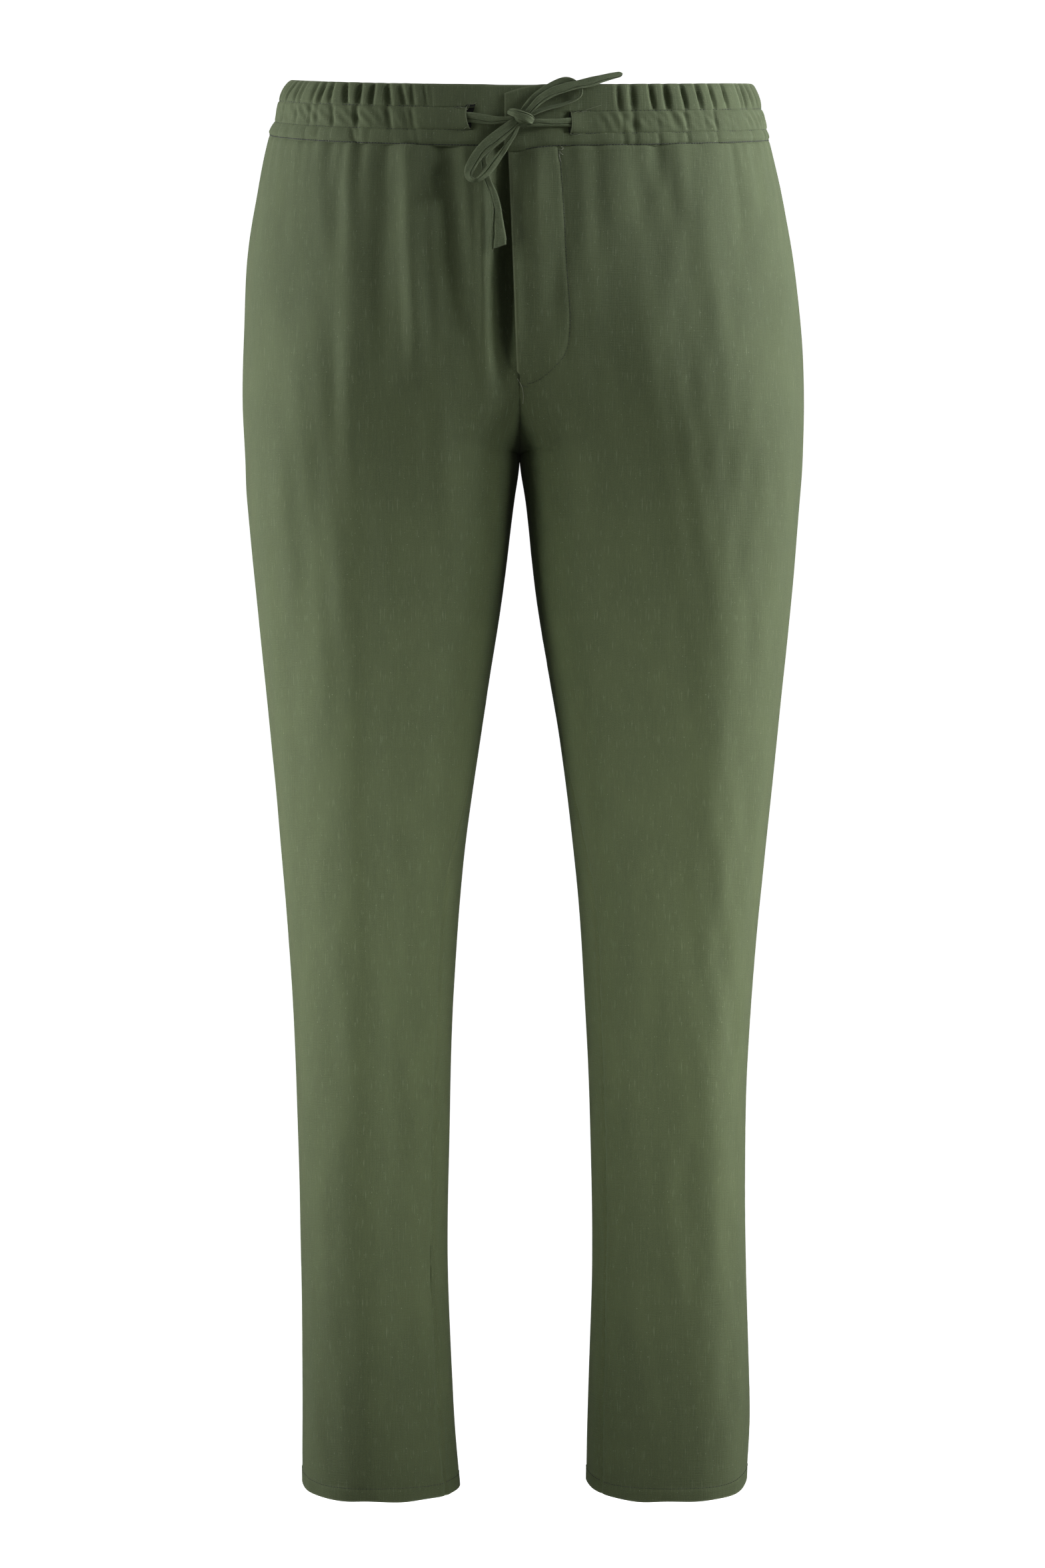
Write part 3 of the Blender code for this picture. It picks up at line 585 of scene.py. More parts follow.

# %% [markdown]
# ## Relief of the cloth
# Linen that hangs from a gathered waist falls in long soft folds, which are listed one by one. Between them the cloth
# swells a little everywhere, puckers along every seam, and draws in at the thread. Each of these is a small function
# that gives a height off the smooth form, so they simply add up.

# %% Folds, listed one by one
# Columns: x and height of the upper end, x and height of the lower end, depth, half width, in mm. x runs from the
# centre towards the side. A ridge is positive and a valley negative.
FOLDS = {
    "front_right": [
        (25, -70, 22, -235, 3.2, 9), (53, -47, 42, -200, -6.8, 14), (66, -58, 68, -102, 1.6, 8),
        (77, -40, 71, -235, 5.2, 12), (97, -40, 94, -235, -2.4, 12), (118, -40, 118, -330, 2.2, 13),
        (150, -200, 118, -420, 1.0, 22), (95, -300, 88, -640, -2.4, 24), (88, -640, 84, -960, -1.8, 18),
        (54, -180, 50, -340, 1.6, 16), (20, -250, 40, -420, -1.2, 14), (114, -270, 112, -1030, 7.0, 46),
        (112, -250, 110, -1030, 2.2, 22), (86, -420, 82, -1030, -3.2, 30),
    ],
    "front_left": [
        (-9, -45, -8, -150, -5.0, 22), (10, -50, 12, -210, 0.9, 9), (25, -45, 28, -210, -0.8, 9),
        (42, -45, 44, -200, 0.9, 12), (66, -42, 70, -120, 1.0, 14), (95, -42, 96, -94, -1.0, 9),
        (112, -42, 114, -110, 1.0, 9), (132, -40, 136, -260, 1.2, 18), (60, -290, 82, -560, -2.4, 22),
        (20, -250, 36, -400, -1.0, 12), (140, -300, 138, -620, 2.2, 24), (84, -600, 92, -900, -2.0, 20),
        (138, -640, 136, -960, 1.8, 18), (112, -330, 108, -1010, -2.6, 34), (72, -520, 76, -1010, 2.0, 24),
    ],
    "back_right": [
        (40, -35, 46, -150, -2.0, 14), (78, -35, 84, -170, 2.0, 15), (118, -35, 124, -150, -2.0, 15),
        (70, -190, 130, -330, -2.6, 22), (96, -330, 92, -560, 2.2, 24), (60, -600, 130, -690, -2.4, 20),
        (100, -720, 98, -960, 2.0, 20),
    ],
    "back_left": [
        (34, -35, 38, -160, -2.0, 14), (72, -35, 76, -140, 2.0, 15), (112, -35, 120, -170, -2.0, 15),
        (64, -205, 126, -350, -2.6, 22), (104, -340, 98, -590, 2.2, 24), (64, -620, 128, -700, -2.4, 20),
        (108, -740, 104, -970, 2.0, 20),
    ],
}
# The right front sinks beside the fly, and less so at its edge under the fly. Columns: height, depth, depth there.
FLY_VALLEY = [
    (-244, 0.0, 0.0), (-222, 5.0, 1.5), (-190, 14.0, 2.5), (-140, 17.0, 4.5), (-95, 13.0, 7.0),
    (-64, 6.0, 6.0), (-30, 3.2, 3.2),
]


def long_fold(x, z, fold):
    """The height of one fold at every point."""
    x_top, top, x_bottom, bottom, depth, half_width = fold
    part = (top - z) / (top - bottom)
    away = np.abs(x - x_top - (x_bottom - x_top) * part) / half_width
    swing = np.clip(1 - away * away, 0.0, 1.0) ** 2
    return depth * swing * np.sin(math.pi * np.clip(part, 0.0, 1.0)) ** 0.7


def tuck(distance, depth, width):
    """The groove beside a seam."""
    return -depth * hump(distance, width)


print("folds:", sum(len(rows) for rows in FOLDS.values()))


# %% Cloth as a thin closed shell
def cloth(name, outer, u, v, wall=WALL, seam_rows=0, wear_and_highlight=0.0, material=olive_linen):
    """A thin piece of cloth from a grid of outer points. Its inner face lies a wall's thickness behind them, and in
    the first seam_rows the edge at the centre seam stays on the middle plane."""
    rows, columns = outer.shape[:2]
    down, across = np.gradient(outer, axis=0), np.gradient(outer, axis=1)
    normal = unit(np.cross(down, across))
    if normal[rows // 3, columns // 2] @ outer[rows // 3, columns // 2] < 0:
        normal = -normal
    normal[:seam_rows, 0, 0] = 0.0
    inner = outer - normal * np.asarray(wall)[..., None]
    points = np.concatenate([outer.reshape(-1, 3), inner.reshape(-1, 3)])
    count = rows * columns
    index = np.arange(count).reshape(rows, columns)
    face = np.stack([index[:-1, :-1], index[:-1, 1:], index[1:, 1:], index[1:, :-1]], -1).reshape(-1, 4)
    border = np.concatenate([index[0], index[1:, -1], index[-1, -2::-1], index[-2:0:-1, 0]])
    after = np.roll(border, -1)
    rim = np.stack([after, border, border + count, after + count], -1)
    faces = np.concatenate([face, face[:, [0, 3, 2, 1]] + count, rim])
    a, b, c = (points[face[:, corner]] for corner in (0, 1, 2))
    if (np.cross(b - a, c - a) * normal[:-1, :-1].reshape(-1, 3)).sum() < 0:
        faces = faces[:, [0, 3, 2, 1]]
    piece = mesh_piece(name, points, faces.tolist(), material)
    flat = np.stack([np.broadcast_to(each, (rows, columns)) for each in (u, v)], -1).reshape(-1, 2) * MM
    set_cloth_map(piece.data, np.concatenate([flat, flat]))
    set_wear_and_highlight(piece.data, np.tile(np.broadcast_to(wear_and_highlight, (rows, columns)).ravel(), 2))
    print(name, 2 * len(faces), "triangles")
    return piece


# %% [markdown]
# ## Leg panels
# Each leg has a front and a back panel, sewn at the side and at the inseam, and both sides meet at the centre
# seams. A panel is a grid: rows at set heights, and columns that hang straight down like the warp. The columns
# next to the centre take up the extra cloth that runs under the crotch.

# %% Rows and columns of a panel
def rows_between(top, bottom, step):
    return list(np.linspace(top, bottom, round((top - bottom) / step) + 1)[:-1])


PANEL_ROWS = np.array(
    rows_between(-BAND_HEIGHT, -105, 1.6)
    + rows_between(-105, -232, 2.6)
    + rows_between(-232, -300, 1.6)
    + rows_between(-300, HEM + 16, 5.2)
    + rows_between(HEM + 16, HEM, 1.3)
    + [HEM]
)


def panel_line(height, side, face):
    """One row of a panel, from the centre seam or inseam to the side seam, and the way along it."""
    axes = ring(height, side)
    centre, radius = axes[:2]
    share = centre / radius
    inner_end = 180.0
    if share < 1:
        inner_end = math.degrees(math.acos(-(max(share, 0.0) ** (inner_power(height) / 2))))
    meets = inner_end >= 180.0
    if height < CROTCH:
        inner_end = 180.0 - INSEAM_ROLL * float(ease(height, ROLL_START, ROLL_END))
    side_end = SIDE_SEAM_ANGLE
    if face == "back":
        side_end += 360.0
        inner_end = 360.0 - inner_end if height >= CROTCH else inner_end
    line = ring_line(axes, height, np.linspace(inner_end, side_end, 300))
    if not meets and height >= CROTCH:
        line[0, 0] = 0.0
    return evened(line)


def panel_form(face, side, shares, overlaps):
    """Grids of a panel's smooth form: points, outward directions, and distances from both edges."""
    top, bottom = (panel_line(height, side, face)[1][-1] for height in (STRAIGHT_TOP, STRAIGHT_BOTTOM))
    grids = []
    for height in PANEL_ROWS:
        line, places = panel_line(height, side, face)
        passed = FLY_OVERLAP_BOTTOM + (FLY_OVERLAP_TOP - FLY_OVERLAP_BOTTOM) * (height - FLY_BOTTOM) / (
            -BAND_HEIGHT - FLY_BOTTOM
        )
        passed = passed if overlaps and height >= FLY_BOTTOM else 0.0
        straight = places[-1]
        if STRAIGHT_BOTTOM < height < STRAIGHT_TOP:
            straight = top + (bottom - top) * float(ease(height, STRAIGHT_TOP, STRAIGHT_BOTTOM))
        wide = places[-1] + passed
        near = wide - (1 - NEAR_SHARE) * (straight + passed)
        far = wide - (1 - shares) * (straight + passed)
        wanted = np.where(shares < NEAR_SHARE, shares / NEAR_SHARE * near, far) - passed
        x = np.interp(np.abs(wanted), places, line[:, 0]) * np.where(wanted < 0, -1, 1)
        y = np.interp(np.abs(wanted), places, line[:, 1])
        push = outward(np.column_stack([x, y])) * (1 if face == "front" else -1)
        if height > CROTCH:
            push[0] = (0, -1 if face == "front" else 1)
        z = height + tilt(height, x, y, side)
        grids.append(np.column_stack([x, y, z, push, wanted + passed, places[-1] - wanted]))
    grids = np.array(grids)
    return grids[..., :3], grids[..., 3:5], grids[..., 5], grids[..., 6]


print("rows of a panel:", len(PANEL_ROWS))

# %% [markdown]
# The relief of a panel adds up its folds, the swell, the grooves beside its seams, the puckers under the
# gathered band and the turned-up hem. On the left front the folded edge of the fly stands proud, and the cloth
# in front of the J-shaped stitching is double.

# %% Relief of a panel
LAP_DIP = 3.0
SEAM_TUCK = (0.8, 2.0)  # depth and width of the groove beside a seam
HEM_FOLD = 9.7  # how far the cloth is turned up at the hem


def lap_dip(place):
    """How far the foot of the waistband and the top of the left front dip towards the centre."""
    return LAP_DIP * (1 - ease(place, -6.0, 32.0))


# Valleys that run down from the gathers. Columns: x, length, depth, half width.
SEAM_VALLEYS = {
    "front_right": [
        (132.7, 34, 1.6, 5), (124.3, 42, 1.4, 4.5), (111.8, 60, 2.2, 5), (92.2, 26, 1.2, 4), (70.3, 52, 1.6, 6),
        (55, 30, 1.0, 5), (147, 26, 1.4, 5),
    ],
    "front_left": [
        (33, 36, 1.2, 6), (52, 22, 0.9, 5), (96, 24, 1.3, 5), (126, 18, 0.7, 4), (143, 20, 0.8, 5),
    ],
}
# The J-shaped stitching of the fly, as x and height.
FLY_STITCH = [
    (26.5, -64.2), (28.4, -77.0), (30.7, -109.9), (32.6, -149.0), (34.9, -182.0), (34.0, -201.6), (30.6, -211.5),
    (24.7, -218.4), (16.6, -225.4), (10.2, -229.0), (5.2, -230.2),
]


def seam_valleys(name, x, z, run):
    """Short valleys under the band. Those that no table gives are spread unevenly."""
    random = np.random.default_rng(sum(map(ord, name)))
    table = [(float(np.interp(row[0], x[0], run[0])), *row[1:]) for row in SEAM_VALLEYS.get(name, [])]
    place = max([row[0] for row in table], default=8.0) + 10
    while place < run[0, -1] - 4:
        table.append((place, random.uniform(20, 55), random.uniform(0.9, 1.8), random.uniform(4, 6)))
        place += random.uniform(8, 15)
    total = 0.0
    for place, length, depth, half_width in table:
        down = (z[0] - z) / length
        away = (run - place - 2.0 * np.sin(down * 2)) / half_width
        total -= depth * np.exp(-away * away) * np.exp(-down * 1.3)
    return total


def panel_relief(name, form, run, rest):
    """The height of the cloth off the smooth form at every point of a panel."""
    x, z = form[..., 0], form[..., 2]
    seed = sum(map(ord, name))
    total = sum(long_fold(x, z, fold) for fold in FOLDS[name])
    if name == "front_right":
        heights, depths, edge_depths = zip(*FLY_VALLEY)
        depth, edge_depth = np.interp(z, heights, depths), np.interp(z, heights, edge_depths)
        total -= (depth + (edge_depth - depth) * ease(x, 7.0, 0.5)) * ease(x, 27.0, 7.5)
    fade = ease(-z, BAND_HEIGHT, BAND_HEIGHT + 60)
    total += (0.5 * swell(x, z, 70, 260, seed) + 0.25 * swell(x, z, 26, 120, seed + 1)) * fade
    total += seam_valleys(name, x, z, run)
    flank = np.minimum(run if name != "front_left" else run + 50 * (z > FLY_BOTTOM), rest)
    total += 0.35 * swell(z, z * 0.37, 13, 60, seed + 2) * np.exp(-flank / 9.0)  # puckers beside the seams
    total += tuck(rest, *SEAM_TUCK) + tuck(z[0] - z, 1.7, 1.6)
    if name == "front_left":
        beside_fly = z > FLY_BOTTOM - 6
        edge = np.where(beside_fly, run, 90.0)
        total += 1.2 * hump(edge, 5.0) - 0.9 * hump(edge, 0.7)  # the folded edge
        total += np.where(beside_fly, 0.0, tuck(run, *SEAM_TUCK))
        sewn_x, sewn_z = zip(*FLY_STITCH)
        line = np.interp(z, sewn_z[::-1], sewn_x[::-1])
        total += 0.7 * ease(line - x, -1.2, 1.2) * (z > sewn_z[-1])  # double cloth
        steps, corners = np.linspace(0, len(FLY_STITCH) - 1, 180), range(len(FLY_STITCH))
        near_x, near_z = (np.interp(steps, corners, values) for values in (sewn_x, sewn_z))
        total += tuck(np.hypot(x[..., None] - near_x, z[..., None] - near_z).min(axis=-1), 0.75, 1.4)
    elif name == "front_right":
        total += tuck(run, *SEAM_TUCK) * ease(-z, 225, 240)
    else:  # both halves of the back are level where they meet
        total = total * ease(run, 0.0, 12.0) + tuck(run, *SEAM_TUCK)
    hem = ease(z, HEM + 11.0, HEM + 8.5)
    return total + hem * (0.5 + 0.35 * swell(x, z, 34, 200, seed + 3)) + tuck(z - HEM - HEM_FOLD, 0.4, 1.3)


# %% Make the four leg panels
SIDE_RELIEF, HEM_WAVE = 0.35, 0.3  # the share of the relief that the sides keep, and how far the hem's edge waves
GRAIN_LINE = 105.0  # the warp runs straight down this far from the centre
SEAM_REACH = 1.1  # how far the back panels reach under the front ones
# The hem hangs lower in the middle of the leg. Its rise at the inner and the outer side, and how late it sets in.
HEM_RISE = {-1: (2.5, 7.0), 1: (7.0, 9.0)}
HEM_RISE_POWER = 7


def column_shares(near, far):
    return np.concatenate([np.linspace(0, NEAR_SHARE, near + 1)[:-1], np.linspace(NEAR_SHARE, 1, far + 1)])


def leg_panel(face, side):
    name = f"{face}_{SIDES[side]}"
    shares = column_shares(40, 118) if face == "front" else column_shares(28, 84)
    form, push, run, rest = panel_form(face, side, shares, name == "front_left")
    height = panel_relief(name, form, run, rest)
    facing = ease(np.abs(push[..., 1]), 0.1, 0.5)
    outer = form.copy()
    outer[..., :2] += push * (height * (SIDE_RELIEF + (1 - SIDE_RELIEF) * facing))[..., None]
    outer[..., 2] += ease(form[..., 2], HEM + 8, HEM) * HEM_WAVE * swell(form[..., 0], 0, 40, 100, 7)
    centre, radius = ring(HEM, side)[:2]
    beside = np.clip((form[..., 0] - centre) / radius, -1, 1)
    inner_rise, outer_rise = HEM_RISE[side]
    rise = np.where(beside < 0, inner_rise, outer_rise) * np.abs(beside) ** HEM_RISE_POWER
    outer[..., 2] += rise * ease(form[..., 2], HEM + 60, HEM)
    if name == "front_left":
        outer[..., 2] -= lap_dip(form[..., 0]) * ease(form[..., 2], -110.0, -BAND_HEIGHT + FRONT_DIP)
    if face == "back":  # at the inseam and the side seam its edges reach a little way under those of the front
        for edge, near in ((0, 1), (-1, -2)):
            reach = ease(form[:, edge, 2], CROTCH - 2, CROTCH - 12) if edge == 0 else np.ones(len(form))
            outer[:, edge] += SEAM_REACH * reach[:, None] * unit(outer[:, edge] - outer[:, near])
            outer[:, edge, :2] -= 0.5 * SEAM_REACH * reach[:, None] * push[:, edge]
    outer[..., 0] *= side
    rows = [(x[: x.argmax()], along) for x, along in zip(form[..., 0], run)]
    u = run - np.array([[np.interp(GRAIN_LINE, x, along[: len(x)])] for x, along in rows])
    # The hem's fold and the fly's folded edge are drawn paler: partly wear, partly a painted highlight.
    wear_and_highlight = 0.5 * hump(form[..., 2] - HEM, 0.8)
    if name == "front_left":
        wear_and_highlight += 0.6 * hump(run, 0.9) * (form[..., 2] > FLY_BOTTOM)
    seam_rows = int((PANEL_ROWS > CROTCH).sum())
    piece = cloth(f"{name}_cloth", outer, u, form[..., 2], seam_rows=seam_rows, wear_and_highlight=np.clip(wear_and_highlight, 0, 0.6))
    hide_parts(name)
    area = float((np.abs(np.diff(PANEL_ROWS))[:, None] * np.diff(run, axis=1)[:-1]).sum()) * MM * MM
    print(name, "area", round(area, 4), "m2, widest", round(float(run.max())), "mm")
    return piece, outer


panels = {}
for side in SIDES:
    for face in ("front", "back"):
        panels[face, side] = leg_panel(face, side)

# %% [markdown]
# ## The waistband
# The band is a double strip with elastic inside, so it gathers into uneven upright pleats, except at the centre
# front, which has no elastic. Two lines of stitching round it make the tunnel for the drawstring. The outer cloth
# of the tunnel ends beside the centre front in an open edge, where the tape comes out.

# %% Gathers of the waistband
# The gathers that show at the front. Columns: distance from the centre line, depth, slant. The rest go on
# unevenly round the waist.
GATHERS = {
    -1: [
        (62.9, 0.45, -0.12), (67.5, 0.6, -0.16), (76.4, 0.65, -0.18), (83.8, 0.85, -0.28), (93.1, 1.15, -0.24),
        (102.5, 1.1, -0.06), (111.8, 1.2, -0.12), (122.2, 1.15, -0.30), (130.9, 0.75, -0.14), (136.9, 0.9, -0.06),
        (142.0, 0.6, -0.08), (150.2, 0.5, -0.1),
    ],
    1: [
        (68.1, 0.8, 0.06), (78.0, 1.0, 0.03), (90.8, 1.0, 0.1), (101.3, 1.3, 0.06), (112.9, 1.0, 0.1),
        (123.4, 0.9, 0.1), (132.7, 0.8, 0.1), (142.0, 0.7, 0.08), (152.5, 0.45, 0.05),
    ],
}
GATHER_START, GATHER_FULL = 46.0, 76.0  # the elastic begins and draws fully, this far from the centre line
FLAT_HALF_WIDTH = 66.0  # up to here a place is a plain distance, and beyond it a share of the way round
GATHER_LIMIT = 1.3


def band_line(depth, side):
    """The band's ring at a depth below its top edge, from the centre front to the centre back."""
    axes = ring(-depth, side)
    line = ring_line(axes, -depth, np.linspace(90, -90, 500))
    line[0, 0] = line[-1, 0] = 0.0
    return evened(line)


BAND_LENGTH = {side: float(band_line(0.0, side)[1][-1]) for side in SIDES}


def gather_table(side):
    """Every gather of half the band: place, depth, slant, half width, and its shift and strength in the tunnel
    and in the strip below."""
    random = np.random.default_rng(31 + side)
    line, places = band_line(0.0, side)
    front = places < BAND_LENGTH[side] / 2
    found = [(float(np.interp(x, line[front, 0], places[front])), deep, slant) for x, deep, slant in GATHERS[side]]
    while found[-1][0] < BAND_LENGTH[side] - 12:
        place = found[-1][0] + random.uniform(6.5, 12.0)
        found.append((place, random.uniform(0.5, 1.1), random.uniform(-0.15, 0.15)))
    return [
        (
            *row, random.uniform(1.4, 2.4), *random.uniform(-2.5, 2.5, 2),
            0.05 + 0.95 * random.uniform() ** 1.6, random.uniform(0.1, 0.55),
        )
        for row in found
    ]


def gathers(side, place, depth):
    """How far the gathers draw the cloth in: 0 on a puff and about 1 in a valley."""
    top, bottom = TUNNEL_ROWS[side]
    tunnel = ease(depth, top - 1.0, top + 2.0)
    below = ease(depth, bottom - 1.0, bottom + 2.0)
    total = 0.0
    for centre, deep, slant, half_width, shift, lower_shift, in_tunnel, in_foot in gather_table(side):
        away = (place - centre - slant * depth - shift * tunnel - lower_shift * below) / half_width
        strength = deep * (1 + (in_tunnel - 1) * tunnel + (in_foot - in_tunnel) * below)
        total += strength * np.exp(-away * away)
    return np.minimum(total, GATHER_LIMIT)


print("gathers:", len(gather_table(-1)), "and", len(gather_table(1)))


# %% The band's shell
def band_grid(side, places, depths, offset):
    """Points of half the band. places and offset are grids with a row for each depth."""
    rows = []
    for row, depth in enumerate(depths):
        line, along = band_line(depth, side)
        stretch = (along[-1] - FLAT_HALF_WIDTH) / (BAND_LENGTH[side] - FLAT_HALF_WIDTH)
        place = np.abs(places[row])
        place = np.where(place > FLAT_HALF_WIDTH, FLAT_HALF_WIDTH + (place - FLAT_HALF_WIDTH) * stretch, place)
        push = outward(line)
        x, y, across, out = (np.interp(place, along, column) for column in (*line.T, *push.T))
        z = -depth + tilt(-depth, x, y, side)
        x, y = x + across * offset[row], y + out * offset[row]
        rows.append(np.column_stack([np.where(places[row] < 0, -x, x) * side, y, z]))
    return np.array(rows)


BAND_FOOT = BAND_HEIGHT + 1.6  # the band reaches this deep, a little way behind the leg panels
BAND_STEP = 1.05
BAND_DEPTHS = np.concatenate([[0.0, 0.4, 1.0], np.linspace(2.0, BAND_HEIGHT - 0.6, 40), [BAND_HEIGHT, BAND_FOOT]])


def puffed(depth, top, bottom):
    """Fullness between two lines of stitching."""
    return np.sin(math.pi * np.clip((depth - top) / (bottom - top), 0.0, 1.0)) ** 0.6


# The left half laps over the centre line by the first of these. Its top corner falls by the last.
LAP_EDGE, LAP_END, LAP_FALL = 10.7, 17.0, 6.2
LAP_DIP_START = 26.0
UNDERLAP = 30.0  # the right half runs on under the left one
SLACK = 0.2  # the share of its fullness that the band keeps where nothing gathers it


def band_offset(side, place, depth):
    """How far the band's outer face stands off the smooth form."""
    full = ease(place, GATHER_START, GATHER_FULL)
    top, bottom = TUNNEL_ROWS[side]
    upper, lower = puffed(depth, 0.0, top), puffed(depth, bottom, BAND_HEIGHT + 1)
    drawn = gathers(side, place, depth) * full
    total = (upper + 0.7 * lower) * (SLACK + (1 - SLACK) * full)
    total -= drawn * (1.1 + 1.9 * upper + 0.9 * lower)
    total += tuck(depth, 0.8, 0.8) + tuck(np.maximum(BAND_HEIGHT - depth, 0.0), 0.9, 1.1)
    total -= 0.7 * ease(depth, BAND_HEIGHT, BAND_FOOT)
    inside = ease(depth, top, top + 1.5) * (1 - ease(depth, bottom - 1.5, bottom))
    total -= inside * 1.6 * ease(place, TUNNEL_END - 9, TUNNEL_END - 2)
    if side < 0:
        total -= 2.5 * ease(place, 30.0, 13.0)
        total += 2.0 * hump(place - BAND_LENGTH[side] / 2, 30.0) * (1 - ease(depth, 3.0, 16.0))
    else:
        total += tuck(place + LAP_EDGE, 0.6, 0.6)
    return total + 0.2 * swell(place, depth, 30, 60, 5 + side)


def waistband(side):
    start = -LAP_EDGE if side > 0 else -UNDERLAP
    count = round((BAND_LENGTH[side] - start) / BAND_STEP)
    places = np.tile(np.linspace(start, BAND_LENGTH[side], count), (len(BAND_DEPTHS), 1))
    depth = BAND_DEPTHS[:, None]
    offset = band_offset(side, places, depth)
    outer = band_grid(side, places, BAND_DEPTHS, offset)
    if side > 0:  # the lap's top corner lies lower
        fall = np.clip((LAP_END - places) / (LAP_END + LAP_EDGE), 0, 1) ** 1.7
        outer[..., 2] -= LAP_FALL * fall * (1 - ease(depth, 4.0, 30.0))
        outer[..., 2] -= lap_dip(places) * ease(depth, LAP_DIP_START, BAND_HEIGHT)
    wall = 2.0 + 0.5 * ease(places, GATHER_START, GATHER_FULL) + np.minimum(offset, 0.0) * 0.4
    wall = np.maximum(wall * ease(depth, -2.0, 2.0) ** 0.5, 0.9)
    name = f"waistband_{SIDES[side]}"
    # The band's top edge and the lap's edge are drawn paler: partly wear, partly a painted highlight.
    wear_and_highlight = 0.25 * hump(depth, 0.9) + (0.4 * hump(places + LAP_EDGE, 0.7) if side > 0 else 0)
    piece = cloth(f"{name}_cloth", outer, places, -depth, wall=wall, wear_and_highlight=wear_and_highlight)
    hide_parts(name)
    return piece


bands = {side: waistband(side) for side in SIDES}


# %% The tunnel's outer cloth
TUNNEL_SHIFT = 300  # mm along its own yarns, so that the weave differs from the band's


def tunnel_cloth(side):
    """The strip between the two lines of stitching, which ends in an open, slightly bowed edge."""
    top, bottom = TUNNEL_ROWS[side]
    depths = np.linspace(top - 0.8, bottom + 0.8, 24)
    depth = depths[:, None]
    middle = (depth - top) / (bottom - top)
    bow = 0.8 * np.sin(math.pi * middle) - 0.6
    if side < 0:
        bow = 1.2 * np.sin(math.pi * middle) - 2.2 * middle + 0.8
    edge = TUNNEL_END + bow
    share = np.linspace(0.0, 1.0, 400) ** 1.15
    places = edge + share * (BAND_LENGTH[side] - edge)
    full = ease(places, GATHER_START, GATHER_FULL)
    puff = puffed(depth, top, bottom)
    mouth = hump(places - edge, 7.0)
    drawn = gathers(side, places, depth) * full
    offset = 0.15 + puff * (0.6 + 0.5 * full + 1.5 * mouth) - drawn * (0.5 + 1.6 * puff)
    offset += 0.4 * puff * swell(places - side * 0.8 * depth, depth + places * 0.2, 12, 40, 40 + side) * full
    offset += tuck(depth - top, 0.5, 0.8) + tuck(depth - bottom, 0.5, 0.8)
    outer = band_grid(side, places, depths, offset)
    # The tunnel's open edge is drawn paler: partly wear, partly a painted highlight.
    wear_and_highlight = 0.35 * hump(places - edge, 0.5)
    return cloth(f"tunnel_{SIDES[side]}_cloth", outer, places + TUNNEL_SHIFT, -depth, wall=0.6, wear_and_highlight=wear_and_highlight)


tunnels = {side: tunnel_cloth(side) for side in SIDES}

# %% [markdown]
# ## Thread
# Every line of stitching is a row of short stitches that sink into the cloth at both ends. One small capsule is
# made in code and copied along a path in front of the cloth. Each copy is laid where the way back meets the cloth,
# and turned along the seam. The length and the turn vary a little, as a sewing machine leaves them on gathers.

# %% Stitches along a path
CAPSULE_RINGS = [(-0.36, 0.72), (0.0, 1.0), (0.36, 0.72)]  # place along the stitch, radius
CAPSULE_SIDES = 6


def capsule():
    """Points and faces of one stitch along x, one unit long and two units thick."""
    turns = np.linspace(0, math.tau, CAPSULE_SIDES, endpoint=False)
    points = [(x, radius * math.cos(turn), radius * math.sin(turn)) for x, radius in CAPSULE_RINGS for turn in turns]
    start, last = len(points), len(points) - CAPSULE_SIDES
    points += [(-0.5, 0.0, 0.0), (0.5, 0.0, 0.0)]
    faces = [(a, d, c, b) for a, b, c, d in tube_faces(len(CAPSULE_RINGS), CAPSULE_SIDES)]
    for corner in range(CAPSULE_SIDES):
        after = (corner + 1) % CAPSULE_SIDES
        faces += [(start, after, corner), (start + 1, last + corner, last + after)]
    return np.array(points), faces


def tree_of(*pieces):
    """What a stitch can lie on: the faces of some pieces."""
    points, faces = [], []
    for piece in pieces:
        first = len(points)
        points += [vertex.co.copy() for vertex in piece.data.vertices]
        faces += [tuple(first + corner for corner in face.vertices) for face in piece.data.polygons]
    return BVHTree.FromPolygons(points, faces)


def sew(name, tree, paths, thread, pitch, length, seed, thickness=0.34, lift=0.05, turn=0.0, start=0.5):
    """Rows of stitches along paths of points off the cloth, each with its way back to the cloth, in millimetres.
    start is the place of the first stitch in pitches, and turn lays each stitch across its path, in degrees."""
    random = np.random.default_rng(seed)
    shape, shape_faces = capsule()
    points, faces = [], []
    for path in paths:
        path = np.array(path, float)
        along = distances(path[:, :3])
        for place in np.arange(pitch * start, along[-1], pitch):
            place += pitch * random.uniform(-0.05, 0.05)
            here, ahead, back = (
                np.array([np.interp(place + step, along, column) for column in path.T]) for step in (0.0, 0.5, -0.5)
            )
            spot, normal, _, _ = tree.ray_cast(Vector(here[:3]) * MM, Vector(here[3:]).normalized())
            if spot is None:
                continue
            normal = np.array(normal) * (-1 if normal @ Vector(here[3:]) > 0 else 1)
            forward = (ahead - back)[:3]
            forward = unit(forward - normal * (forward @ normal))
            flank = np.cross(normal, forward)
            angle = math.radians(turn + random.uniform(-7, 7))
            cos, sin = math.cos(angle), math.sin(angle)
            forward, flank = forward * cos + flank * sin, flank * cos - forward * sin
            size = (length * random.uniform(0.85, 1.1), thickness / 2 * random.uniform(0.9, 1.1), thickness / 2)
            first = len(points)
            base = np.array(spot) / MM + normal * lift
            points += [base + forward * x + flank * y + normal * z for x, y, z in shape * size]
            faces += [tuple(first + corner for corner in face) for face in shape_faces]
    piece = mesh_piece(name, points, faces, thread)
    print(name, len(faces), "faces")
    return piece


